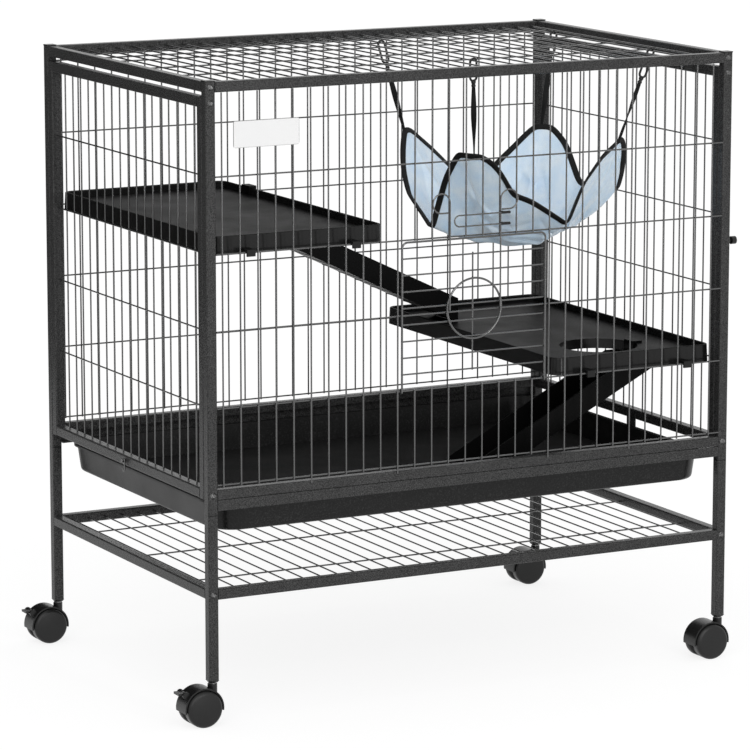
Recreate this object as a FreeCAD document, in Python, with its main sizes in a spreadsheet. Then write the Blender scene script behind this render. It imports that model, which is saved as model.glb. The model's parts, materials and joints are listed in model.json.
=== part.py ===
import FreeCAD, Part
import math
import os
from types import SimpleNamespace

import Sketcher

# A small animal cage on casters. Millimetres, +X to the right along the front, +Y to the back, +Z up.
# The origin is on the floor under the middle of the frame.

V = FreeCAD.Vector
doc = FreeCAD.newDocument("small_animal_cage")
sheet = doc.addObject("Spreadsheet::Sheet", "sizes")

# Driving dimensions
SIZES = {
    # frame of square tube
    "frame_width": 800,
    "frame_depth": 528,
    "tube_side": 14,
    "tube_wall": 1.2,
    "tube_corner": 2,
    "caster_height": 60,
    "leg_length": 222,
    "post_length": 570,
    "shelf_rise": 108.5,
    "rail_lift": 6,
    "panel_gap": 6.5,
    "spigot_half": 20,
    "slip_fit": 0.25,
    # plugs and bolts
    "cap_thick": 1.6,
    "plug_depth": 12,
    "foot_taper": 2,
    "foot_drop": 3,
    "bolt_dia": 4,
    "bolt_grip": 7,
    "bolt_head_dia": 8,
    "bolt_head_top": 4.6,
    "bolt_head_high": 2.4,
    "bolt_slack": 0.15,
    # wire grilles
    "wire_dia": 2.2,
    "row_pitch": 101.6,
    "first_row": 6,
    "front_wire_shift": 5,
    "long_wire_lap": 3,
    # door and latch
    "door_wire": 2.8,
    "door_side_gap": 6.3,
    "door_head_gap": 2.8,
    "door_bend": 8,
    "pivot_slack": 0.05,
    "door_ring_dia": 82,
    "door_ring_rise": 4.5,
    "upright_rise": 46,
    "ear_bend": 13,
    "latch_wire": 2,
    "latch_slack": 0.3,
    "latch_rise": 29,
    "latch_gap": 15,
    "latch_back": 26,
    "latch_front": 38,
    "tip_dia": 3.8,
    "tip_long": 13,
    "peg_dia": 3,
    "peg_long": 6.4,
    "peg_inset": 4.8,
    # platforms
    "platform_width": 254,
    "platform_depth": 494,
    "platform_height": 24,
    "platform_corner": 16,
    "platform_rim": 5,
    "platform_recess": 10,
    "platform_skin": 2.5,
    "platform_gap": 2,
    "platform_round": 1.5,
    "platform_draft": 3,
    "hole_dia": 110,
    "hole_offset": 133,
    "hole_shift": 11,
    "hook_wide": 12,
    "hook_thick": 3,
    "hook_rise": 4,
    "hook_drop": 6,
    "hook_slack": 0.3,
    # ramps
    "ramp_width": 70,
    "ramp_wall_high": 35,
    "ramp_skin": 3,
    "ramp_seat_gap": 3,
    "ramp_landing": 56,
    "upper_ramp_offset": 161,
    "low_ramp_overlap": 17,
    "low_ramp_run": 292,
    "low_ramp_drop": 15.5,
    "low_ramp_trim": 1,
    "rib_dia": 5,
    "ramp_hook_wide": 24,
    # tray and what holds it
    "tray_ledge": 18,
    "tray_sheet": 1.5,
    "tray_slide_gap": 0.3,
    "tray_side_gap": 1,
    "tray_end_gap": 2,
    "tray_flange": 5,
    "tray_flange_thick": 2.5,
    "tray_deep": 36.8,
    "tray_skin": 2.5,
    "tray_corner": 42,
    "tray_draft": 8,
    "tray_round": 6,
    "clip_pin_dia": 3,
    "clip_pin_long": 4.6,
    "clip_head_dia": 6,
    "clip_head_thick": 1.2,
    "clip_wire": 2.2,
    "clip_long": 11,
    "clip_bend": 3,
    "stop_wide": 23,
    "stop_offset": 31,
    "stop_thick": 1.5,
    "stop_over": 10,
    "stop_under": 16,
    # sign plate
    "plate_width": 95,
    "plate_high": 35,
    "plate_thick": 1.2,
    "plate_corner": 3,
    "plate_from_post": 24,
    "plate_from_top": 52,
    # hammock
    "hammock_side": 240,
    "hammock_low": 569,
    "hammock_tip_rise": 147,
    "right_edge_rise": 78,
    "back_edge_rise": 93,
    "left_edge_rise": 31,
    "front_edge_rise": 44,
    "hammock_cloth": 3,
    "hammock_binding": 5,
    "binding_wide": 7,
    "seam_gap": 0.6,
    "strap_wide": 10,
    "strap_thick": 1.5,
    "strap_slack": 0.4,
    "snap_bend": 4.6,
    "snap_wire": 2.6,
    "snap_long": 18,
    "swivel_dia": 6.5,
    "swivel_long": 10,
    "hook_span": 270,
    # side knob
    "knob_height": 588,
    "knob_dia": 11,
    "knob_thick": 7,
    "knob_stem_dia": 5,
    "knob_stem_long": 14,
    "knob_plate_high": 24,
    "knob_plate_wide": 11,
    "knob_plate_thick": 3,
    "knob_loop": 4.5,
    # casters
    "wheel_dia": 50,
    "wheel_wide": 16.5,
    "wheel_bevel": 3.5,
    "wheel_gap": 0.6,
    "web_thick": 8,
    "caster_trail": 18,
    "axle_dia": 6,
    "hood_gap": 1.2,
    "hood_wall": 2,
    "hood_wide": 30,
    "boss_dia": 13,
    "boss_top": 55,
    "stem_dia": 8,
    "stem_seat": 40,
    "stem_insert": 18,
    "neck_dia": 11,
    "lever_long": 10,
    "lever_wide": 16,
    "lever_thick": 3,
    "lever_pin_dia": 3,
    "lever_barrel_dia": 7,
    "lever_gap": 0.4,
    # how far a cutting tool runs past the face that it cuts
    "overrun": 1,
}

# Counts
FRONT_WIRES = 30
SIDE_WIRES = 17
TOP_CROSS_COUNT = 5
SHELF_CROSS_COUNT = 3
DOOR_WIRES = (10, 19)
DOOR_ROWS = (1, 3)
LONG_WIRES = (5, 10, 19, 24)
DOOR_BARS = 8
UPRIGHT_WIRES = (13, 16)
HOOK_CELLS = (2, 8)
HAMMOCK_WIRES = (17, 28)
RAMP_RIBS = 11
# heights nearer than this are one level
SAME_LEVEL = 1e-6

for row, (name, value) in enumerate(SIZES.items(), start=1):
    sheet.set("A%d" % row, name)
    sheet.set("B%d" % row, str(value))
    sheet.setAlias("B%d" % row, name)
doc.recompute()


class Rule:
    """A length that knows both its formula over the sheet and its value now."""

    def __init__(self, text, value):
        self.text = text
        self.value = value

    def join(self, sign, other, value):
        return Rule("(%s %s %s)" % (self.text, sign, rule(other).text), value)

    def __add__(self, other):
        return self.join("+", other, self.value + rule(other).value)

    def __sub__(self, other):
        return self.join("-", other, self.value - rule(other).value)

    def __mul__(self, other):
        return self.join("*", other, self.value * rule(other).value)

    def __truediv__(self, other):
        return self.join("/", other, self.value / rule(other).value)

    def __neg__(self):
        return rule(0) - self


def rule(item):
    """Plain numbers, such as counts and zero, are rules too."""
    if isinstance(item, Rule):
        return item
    return Rule(repr(item), item)


size = SimpleNamespace(**{name: Rule("sizes." + name, float(sheet.get(name))) for name in SIZES})
nodes = []


def bind(item, **rules):
    """Ties properties of an object to formulas over the sheet. Two underscores stand for a dot."""
    for name, formula in rules.items():
        item.setExpression(name.replace("__", "."), rule(formula).text)


def axes(x_to, y_to):
    """Rotation that takes the X and Y axes to two given directions."""
    x_to = V(*x_to)
    y_to = V(*y_to)
    return FreeCAD.Rotation(x_to, y_to, x_to.cross(y_to), "XYZ")


UPRIGHT = FreeCAD.Rotation()
ALONG_X = axes((0, 0, -1), (0, 1, 0))
ALONG_Y = axes((1, 0, 0), (0, 0, -1))
ALONG_X_BACK = axes((0, 0, 1), (0, 1, 0))


def place(item, spot, turned=UPRIGHT):
    """Sets an object's turn and ties its position to formulas."""
    item.Placement = FreeCAD.Placement(V(), turned)
    x, y, z = spot
    bind(item, Placement__Base__x=x, Placement__Base__y=y, Placement__Base__z=z)
    return item


def keep(item):
    """Marks an object as a finished sub-part, exported under its label."""
    nodes.append(item)
    return item


def rod(name, dia, length, spot, turned=UPRIGHT):
    """Round bar that starts at a spot and runs along its own Z axis."""
    item = doc.addObject("Part::Cylinder", name)
    bind(item, Radius=dia / 2, Height=length)
    return place(item, spot, turned)


def block(name, span, spot):
    """Box with its lowest corner at a spot."""
    item = doc.addObject("Part::Box", name)
    bind(item, Length=span[0], Width=span[1], Height=span[2])
    return place(item, spot)


def bend(name, dia, radius, degrees, centre, x_to, y_to):
    """Arc of round bar about a centre, from one direction towards another."""
    item = doc.addObject("Part::Torus", name)
    bind(item, Radius1=radius, Radius2=dia / 2)
    item.Angle3 = degrees
    return place(item, centre, axes(x_to, y_to))


def group(name, items):
    """Separate solids that share one node."""
    item = doc.addObject("Part::Compound", name)
    item.Links = items
    return item


def fuse(name, items):
    """One solid from pieces that meet."""
    item = doc.addObject("Part::MultiFuse", name)
    item.Shapes = items
    return item


def cut(name, base, tool):
    """A solid less a tool."""
    item = doc.addObject("Part::Cut", name)
    item.Base = base
    item.Tool = tool
    return item


def rounded_rectangle(sketch, width, depth, corner):
    """Rectangle with round corners, centred on the sketch's origin and tied to the sheet."""
    half_w = rule(width).value / 2
    half_d = rule(depth).value / 2
    r = rule(corner).value
    first = sketch.GeometryCount
    quarter = math.pi / 2
    signs = ((-1, -1), (1, -1), (1, 1), (-1, 1))
    inner = [V(sx * (half_w - r), sy * (half_d - r), 0) for sx, sy in signs]
    outward = (V(0, -r, 0), V(r, 0, 0), V(0, r, 0), V(-r, 0, 0))
    for i in range(4):
        following = (i + 1) % 4
        sketch.addGeometry(Part.LineSegment(inner[i] + outward[i], inner[following] + outward[i]))
    for i in range(4):
        start = (i + 2) * quarter
        whole = Part.Circle(inner[i], V(0, 0, 1), r)
        sketch.addGeometry(Part.ArcOfCircle(whole, start, start + quarter))
    for i in range(4):
        arc = first + 4 + i
        sketch.addConstraint(Sketcher.Constraint("Tangent", arc, 2, first + i, 1))
        sketch.addConstraint(Sketcher.Constraint("Tangent", first + i, 2, first + 4 + (i + 1) % 4, 1))
    for i in (0, 2):
        sketch.addConstraint(Sketcher.Constraint("Horizontal", first + i))
        sketch.addConstraint(Sketcher.Constraint("Vertical", first + i + 1))
    for i in range(1, 4):
        sketch.addConstraint(Sketcher.Constraint("Equal", first + 4, first + 4 + i))
    sketch.addConstraint(Sketcher.Constraint("Symmetric", first + 4, 3, first + 6, 3, -1, 1))
    spans = (
        ("width_%d" % first, "DistanceX", first + 3, 2, first + 1, 1, width),
        ("depth_%d" % first, "DistanceY", first, 1, first + 2, 1, depth),
    )
    for name, kind, geo_a, point_a, geo_b, point_b, formula in spans:
        value = rule(formula).value
        index = sketch.addConstraint(Sketcher.Constraint(kind, geo_a, point_a, geo_b, point_b, value))
        sketch.renameConstraint(index, name)
        sketch.setExpression("Constraints." + name, rule(formula).text)
    index = sketch.addConstraint(Sketcher.Constraint("Radius", first + 4, r))
    sketch.renameConstraint(index, "corner_%d" % first)
    sketch.setExpression("Constraints.corner_%d" % first, rule(corner).text)


def circle(sketch, dia, spot):
    """Circle in a sketch, tied to the sheet."""
    x, y = rule(spot[0]), rule(spot[1])
    index = sketch.addGeometry(Part.Circle(V(x.value, y.value, 0), V(0, 0, 1), dia.value / 2))
    ties = (
        ("dia_%d" % index, Sketcher.Constraint("Diameter", index, dia.value), dia),
        ("at_x_%d" % index, Sketcher.Constraint("DistanceX", -1, 1, index, 3, x.value), x),
        ("at_y_%d" % index, Sketcher.Constraint("DistanceY", -1, 1, index, 3, y.value), y),
    )
    for name, constraint, formula in ties:
        sketch.renameConstraint(sketch.addConstraint(constraint), name)
        sketch.setExpression("Constraints." + name, formula.text)


def body_sketch(body, name, height=0):
    """Level sketch in a body, at a height over the body's own base plane."""
    sketch = body.newObject("Sketcher::SketchObject", name)
    base = [item for item in body.Origin.OriginFeatures if item.Role == "XY_Plane"][0]
    sketch.AttachmentSupport = [(base, "")]
    sketch.MapMode = "FlatFace"
    bind(sketch, AttachmentOffset__Base__z=height)
    return sketch


def level_feature(body, kind, name, sketch, length, upward, taper=0):
    """Pad or pocket of a level sketch, upward or downward, with its walls leaning by a taper."""
    item = body.newObject("PartDesign::" + kind, name)
    item.Profile = sketch
    item.Reversed = upward if kind == "Pocket" else not upward
    bind(item, Length=length)
    if taper:
        bind(item, TaperAngle=taper)
    doc.recompute()
    return item


# Levels and lines that the pieces share
half_width = size.frame_width / 2
half_depth = size.frame_depth / 2
inner_x = half_width - size.tube_side
inner_y = half_depth - size.tube_side
side_inner_y = inner_y - size.tube_side
post_x = half_width - size.tube_side / 2
post_y = half_depth - size.tube_side / 2
leg_end = size.caster_height
post_end = leg_end + size.leg_length
tray_rail_low = post_end + size.rail_lift
panel_low = tray_rail_low + size.tube_side
grille_low = panel_low + size.tube_side
post_top = post_end + size.post_length
top_rail_low = post_top - size.tube_side
side_panel_top = top_rail_low - size.panel_gap
shelf_low = leg_end + size.shelf_rise
shelf_mid = shelf_low + size.tube_side / 2
cell = inner_x * 2 / FRONT_WIRES
row_y = half_depth - size.wire_dia / 2
picket_y = half_depth + size.wire_dia / 2

LEFT_RIGHT = (("left", -1), ("right", 1))
FRONT_BACK = (("front", -1), ("back", 1))
CORNERS = [(fb + "_" + lr, sx, sy) for fb, sy in FRONT_BACK for lr, sx in LEFT_RIGHT]


def row_height(k):
    """Height of a level grille wire."""
    return grille_low + size.first_row + size.row_pitch * k


def row_count(top):
    """How many level grille wires fit under a top."""
    room = top - size.wire_dia - row_height(0)
    return 1 + int(room.value / size.row_pitch.value)


def picket_x(i):
    """Place of an upright wire of the back grille, and of the meshes' wires in line with it."""
    return cell * (i + 0.5) - inner_x


def front_picket_x(i):
    """Place of an upright wire of the front grille, which sits a little to the left."""
    return picket_x(i) - size.front_wire_shift


# Square tube section, shared by every tube
tube_section = doc.addObject("Sketcher::SketchObject", "tube_section")
bore_side = size.tube_side - size.tube_wall * 2
bore_corner = size.tube_corner - size.tube_wall
rounded_rectangle(tube_section, size.tube_side, size.tube_side, size.tube_corner)
rounded_rectangle(tube_section, bore_side, bore_side, bore_corner)


def tube(name, length, spot, turned=UPRIGHT):
    """Length of square tube that starts at a spot, which lies on its axis."""
    item = doc.addObject("Part::Extrusion", name)
    item.Base = tube_section
    item.DirMode = "Custom"
    item.Dir = V(0, 0, 1)
    item.Solid = True
    bind(item, LengthFwd=length)
    return place(item, spot, turned)


# Bolts run front to back through posts and legs into the side tubes behind them
bolt_levels = (
    top_rail_low + size.tube_side / 2,
    side_panel_top - size.tube_side / 2,
    panel_low + size.tube_side / 2,
)
shank_long = size.tube_side + size.bolt_grip


def bolt_bores(name, levels):
    """Clearance holes for the bolts at some levels of all four corners."""
    bores = []
    for n, level in enumerate(levels):
        for corner, sx, sy in CORNERS:
            turned = ALONG_Y if sy < 0 else axes((1, 0, 0), (0, 0, 1))
            spot = (post_x * sx, (half_depth + size.overrun) * sy, level)
            dia = size.bolt_dia + size.bolt_slack * 2
            bores.append(rod("%s_%s_%d" % (name, corner, n), dia, shank_long + size.overrun, spot, turned))
    return group(name, bores)


def bolts(name, levels):
    """Dome head bolts at some levels of all four corners."""
    items = []
    for n, level in enumerate(levels):
        for corner, sx, sy in CORNERS:
            label = "%s_%s_%d" % (name, corner, n)
            inward = ALONG_Y if sy < 0 else axes((1, 0, 0), (0, 0, 1))
            outward = axes((1, 0, 0), (0, 0, 1)) if sy < 0 else ALONG_Y
            spot = (post_x * sx, half_depth * sy, level)
            shank = rod(label + "_shank", size.bolt_dia, shank_long - size.bolt_slack, spot, inward)
            head = doc.addObject("Part::Cone", label + "_head")
            bind(head, Radius1=size.bolt_head_dia / 2, Radius2=size.bolt_head_top / 2)
            bind(head, Height=size.bolt_head_high)
            place(head, spot, outward)
            items.append(fuse(label, [shank, head]))
    return keep(group(name, items))


frame_bores = bolt_bores("frame_bores", bolt_levels)
shelf_bores = bolt_bores("shelf_bores", [shelf_mid])
bolts("frame_bolts", bolt_levels)
bolts("shelf_bolts", [shelf_mid])

# Posts, legs and the spigots that join them
legs = []
spigots = []
plugs = []
for corner, sx, sy in CORNERS:
    at = (post_x * sx, post_y * sy)
    post = tube(corner + "_post_tube", size.post_length, (*at, post_end))
    keep(cut(corner + "_post", post, frame_bores))
    leg = tube(corner + "_leg_tube", size.leg_length, (*at, leg_end))
    legs.append(cut(corner + "_leg", leg, shelf_bores))
    spigot_side = bore_side - size.slip_fit * 2
    low_x = at[0] - spigot_side / 2
    low_y = at[1] - spigot_side / 2
    spigot_span = (spigot_side, spigot_side, size.spigot_half * 2)
    spigots.append(block(corner + "_spigot", spigot_span, (low_x, low_y, post_end - size.spigot_half)))
    cap_spot = (at[0] - size.tube_side / 2, at[1] - size.tube_side / 2, post_top)
    cap = block(corner + "_cap_top", (size.tube_side, size.tube_side, size.cap_thick), cap_spot)
    # the plug under the cap is shorter than the way down to the first bolt
    stopper_long = size.tube_side / 2 - size.bolt_dia
    stopper_spot = (low_x, low_y, post_top - stopper_long)
    stopper = block(corner + "_cap_plug", (spigot_side, spigot_side, stopper_long), stopper_spot)
    plugs.append(fuse(corner + "_cap", [cap, stopper]))
keep(group("legs", legs))
keep(group("leg_spigots", spigots))

# Rails of the front and back panels
for side, sy in FRONT_BACK:
    for level, low in (("top", top_rail_low), ("bottom", panel_low)):
        spot = (-inner_x, post_y * sy, low + size.tube_side / 2)
        keep(tube("%s_%s_rail" % (side, level), inner_x * 2, spot, ALONG_X))

# Rails along the sides of the top panel
top_rails = []
for side, sx in LEFT_RIGHT:
    spot = (post_x * sx, -inner_y, top_rail_low + size.tube_side / 2)
    top_rails.append(tube("top_%s_rail" % side, inner_y * 2, spot, ALONG_Y))
keep(group("top_side_rails", top_rails))

# Left and right panel frames: two uprights with two rails between them
for side, sx in LEFT_RIGHT:
    tubes = []
    for end, sy in FRONT_BACK:
        spot = (post_x * sx, (inner_y - size.tube_side / 2) * sy, panel_low)
        upright = tube("%s_panel_%s_tube" % (side, end), side_panel_top - panel_low, spot)
        tubes.append(cut("%s_panel_%s" % (side, end), upright, frame_bores))
    for level, low in (("top", side_panel_top - size.tube_side), ("bottom", panel_low)):
        spot = (post_x * sx, -side_inner_y, low + size.tube_side / 2)
        tubes.append(tube("%s_panel_%s" % (side, level), side_inner_y * 2, spot, ALONG_Y))
    keep(group(side + "_panel_frame", tubes))

# Angle rails under the front and back panels: a face strip and a ledge that carries the tray
rails = []
for side, sy in FRONT_BACK:
    strip_low = -half_depth if sy < 0 else half_depth - size.tray_sheet
    ledge_low = -half_depth if sy < 0 else half_depth - size.tray_ledge
    strip_span = (inner_x * 2, size.tray_sheet, size.tube_side)
    ledge_span = (inner_x * 2, size.tray_ledge, size.tray_sheet)
    strip = block(side + "_tray_strip", strip_span, (-inner_x, strip_low, tray_rail_low))
    ledge = block(side + "_tray_ledge", ledge_span, (-inner_x, ledge_low, tray_rail_low))
    rails.append(fuse(side + "_tray_rail", [strip, ledge]))
keep(group("tray_rails", rails))

# Shelf frame between the legs
shelf_tubes = []
for side, sy in FRONT_BACK:
    shelf_tubes.append(tube("shelf_" + side, inner_x * 2, (-inner_x, post_y * sy, shelf_mid), ALONG_X))
for side, sx in LEFT_RIGHT:
    shelf_tubes.append(tube("shelf_" + side, inner_y * 2, (post_x * sx, -inner_y, shelf_mid), ALONG_Y))
keep(group("shelf_frame", shelf_tubes))


def flat_mesh(name, level, cross_count):
    """Level mesh: close wires front to back, and a few wires across under them."""
    wires = []
    for i in range(FRONT_WIRES):
        spot = (picket_x(i), -inner_y, level)
        wires.append(rod("%s_%d" % (name, i), size.wire_dia, inner_y * 2, spot, ALONG_Y))
    for k in range(cross_count):
        y = inner_y * 2 * (k + 0.5) / cross_count - inner_y
        spot = (-inner_x, y, level - size.wire_dia)
        wires.append(rod("%s_cross_%d" % (name, k), size.wire_dia, inner_x * 2, spot, ALONG_X))
    return keep(group(name, wires))


top_mesh_level = post_top - size.tube_side / 2
flat_mesh("top_mesh", top_mesh_level, TOP_CROSS_COUNT)
flat_mesh("shelf_mesh", shelf_mid, SHELF_CROSS_COUNT)


def face_grille(side, sy):
    """Front or back grille. The front one leaves out the top row and the wires across the door opening."""
    wires = []
    rows = row_count(top_rail_low)
    if side == "front":
        rows -= 1
    for k in range(rows):
        spot = (-inner_x, row_y * sy, row_height(k))
        wires.append(rod("%s_row_%d" % (side, k), size.wire_dia, inner_x * 2, spot, ALONG_X))
    half_wire = size.wire_dia / 2
    for i in range(FRONT_WIRES):
        low = grille_low - size.long_wire_lap if i in LONG_WIRES else row_height(0) - size.wire_dia
        spans = [(low, top_rail_low)]
        if side == "front" and DOOR_WIRES[0] < i < DOOR_WIRES[1]:
            sill = row_height(DOOR_ROWS[0]) + half_wire
            head = row_height(DOOR_ROWS[1]) - half_wire
            spans = [(low, sill), (head, top_rail_low)]
        for n, (start, stop) in enumerate(spans):
            x = front_picket_x(i) if side == "front" else picket_x(i)
            spot = (x, picket_y * sy, start)
            wires.append(rod("%s_wire_%d_%d" % (side, i, n), size.wire_dia, stop - start, spot))
    return keep(group(side + "_grille", wires))


def side_grille(side, sx):
    """Left or right grille, in the middle of its panel frame, without the lowest row."""
    wires = []
    stop = side_panel_top - size.tube_side
    for k in range(1, row_count(stop)):
        spot = (post_x * sx, -side_inner_y, row_height(k))
        wires.append(rod("%s_row_%d" % (side, k), size.wire_dia, side_inner_y * 2, spot, ALONG_Y))
    for i in range(SIDE_WIRES):
        y = side_inner_y * 2 * (i + 1) / (SIDE_WIRES + 1) - side_inner_y
        spot = ((post_x - size.wire_dia) * sx, y, grille_low)
        wires.append(rod("%s_wire_%d" % (side, i), size.wire_dia, stop - grille_low, spot))
    return keep(group(side + "_grille", wires))


for side, sy in FRONT_BACK:
    face_grille(side, sy)
for side, sx in LEFT_RIGHT:
    side_grille(side, sx)

# Door: a wire frame that hooks round the sill wire, with bars, a ring and two latch uprights
sill_level = row_height(DOOR_ROWS[0])
head_level = row_height(DOOR_ROWS[1])
door_x = (front_picket_x(DOOR_WIRES[0]) + front_picket_x(DOOR_WIRES[1])) / 2
door_half = front_picket_x(DOOR_WIRES[1]) - door_x - size.door_side_gap
door_top = head_level - size.door_head_gap
ring_level = (sill_level + door_top) / 2 + size.door_ring_rise
eye_radius = size.wire_dia / 2 + size.pivot_slack + size.door_wire / 2
door_y = -row_y - eye_radius
EYE_DEGREES = 300


def door_frame():
    """Hooked wire up one side, across the top with round corners, and down the other side."""
    wire = size.door_wire
    curve = size.door_bend
    pieces = []
    for side, sx in LEFT_RIGHT:
        x = door_x + door_half * sx
        centre = (door_x + (door_half - curve) * sx, door_y, door_top - curve)
        stile_long = door_top - curve - sill_level
        eye = (x, -row_y, sill_level)
        pieces.append(bend("door_eye_" + side, wire, eye_radius, EYE_DEGREES, eye, (0, -1, 0), (0, 0, -1)))
        pieces.append(rod("door_stile_" + side, wire, stile_long, (x, door_y, sill_level)))
        pieces.append(bend("door_corner_" + side, wire, curve, 90, centre, (sx, 0, 0), (0, 0, 1)))
    reach = door_half - curve
    pieces.append(rod("door_head", wire, reach * 2, (door_x - reach, door_y, door_top), ALONG_X))
    return keep(fuse("door_frame", pieces))


def door_bars():
    """Level bars behind the frame, a centre bar behind those and a ring in the frame's plane."""
    bar_y = door_y + size.door_wire / 2 + size.wire_dia / 2
    pieces = []
    for k in range(1, DOOR_BARS + 1):
        level = sill_level + (door_top - sill_level) * k / (DOOR_BARS + 1)
        spot = (door_x - door_half, bar_y, level)
        pieces.append(rod("door_bar_%d" % k, size.wire_dia, door_half * 2, spot, ALONG_X))
    start = sill_level + (door_top - sill_level) / (DOOR_BARS + 1) - size.wire_dia
    stop = sill_level + (door_top - sill_level) * DOOR_BARS / (DOOR_BARS + 1) + size.wire_dia
    spot = (door_x, bar_y + size.wire_dia, start)
    pieces.append(rod("door_centre_bar", size.wire_dia, stop - start, spot))
    middle = (door_x, door_y, ring_level)
    ring_radius = size.door_ring_dia / 2
    pieces.append(bend("door_ring", size.door_wire, ring_radius, 360, middle, (1, 0, 0), (0, 0, 1)))
    return keep(group("door_bars", pieces))


upright_y = door_y - size.door_wire / 2 - size.wire_dia / 2


def door_uprights():
    """Two wires from the ring up past the door's head, each bent into a finger ear."""
    pieces = []
    for (side, sx), i in zip(LEFT_RIGHT, UPRIGHT_WIRES):
        x = front_picket_x(i)
        start = ring_level
        stop = head_level + size.upright_rise
        wire = size.wire_dia
        curve = size.ear_bend
        ear_x = x + curve * sx
        stem = rod("upright_stem_" + side, wire, stop - start, (x, upright_y, start))
        centre = (ear_x, upright_y, stop)
        over = bend("upright_over_" + side, wire, curve, 180, centre, (-sx, 0, 0), (0, 0, 1))
        under = bend("upright_under_" + side, wire, curve, 90, centre, (sx, 0, 0), (0, 0, -1))
        back_turn = ALONG_X if sx < 0 else ALONG_X_BACK
        back_spot = (ear_x, upright_y, stop - curve)
        back = rod("upright_back_" + side, wire, curve - wire, back_spot, back_turn)
        pieces.append(fuse("upright_" + side, [stem, over, under, back]))
    return keep(group("door_uprights", pieces))


latch_y = upright_y - size.wire_dia / 2 - size.latch_slack - size.tip_dia / 2
latch_low = head_level + size.latch_rise - size.latch_gap
latch_levels = (latch_low, latch_low + size.latch_gap)


def latch():
    """Hairpin that slides across the uprights, with a black tip and an inward peg on each leg."""
    turn_x = door_x - size.latch_back
    turn_spot = (turn_x, latch_y, latch_low + size.latch_gap / 2)
    pieces = [bend("latch_turn", size.latch_wire, size.latch_gap / 2, 180, turn_spot, (0, 0, 1), (-1, 0, 0))]
    tips = []
    for n, level in enumerate(latch_levels):
        leg_long = size.latch_back + size.latch_front
        leg_spot = (turn_x, latch_y, level)
        pieces.append(rod("latch_leg_%d" % n, size.latch_wire, leg_long, leg_spot, ALONG_X))
        tip_spot = (turn_x + leg_long, latch_y, level)
        sleeve = rod("latch_sleeve_%d" % n, size.tip_dia, size.tip_long, tip_spot, ALONG_X)
        peg_spot = (turn_x + leg_long + size.peg_inset, latch_y, level)
        peg = rod("latch_peg_%d" % n, size.peg_dia, size.peg_long, peg_spot, ALONG_Y)
        tips.append(fuse("latch_tip_%d" % n, [sleeve, peg]))
    keep(fuse("latch_bolt", pieces))
    keep(group("latch_tips", tips))


door_frame()
door_bars()
door_uprights()
latch()

# Sign plate on the front wires, left bare
plate_sketch = doc.addObject("Sketcher::SketchObject", "plate_outline")
rounded_rectangle(plate_sketch, size.plate_width, size.plate_high, size.plate_corner)
plate = doc.addObject("Part::Extrusion", "sign_plate")
plate.Base = plate_sketch
plate.DirMode = "Custom"
plate.Dir = V(0, 0, 1)
plate.Solid = True
bind(plate, LengthFwd=size.plate_thick)
plate_x = size.plate_from_post + size.plate_width / 2 - inner_x
plate_z = post_top - size.plate_from_top - size.plate_high / 2
plate_y = -picket_y - size.wire_dia / 2
keep(place(plate, (plate_x, plate_y, plate_z), axes((1, 0, 0), (0, 0, 1))))

# Platforms: moulded pans hooked over the wires of the front and back grilles. The lower one has a round hole
platform_x = inner_x - size.platform_gap - size.platform_width / 2
hole_x = platform_x + size.hole_shift
upper_base = head_level + size.wire_dia / 2 - size.hook_rise
lower_base = sill_level + size.wire_dia / 2 - size.hook_rise
floor_low = size.platform_height - size.platform_recess - size.platform_skin
floor_top = size.platform_height - size.platform_recess


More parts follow.
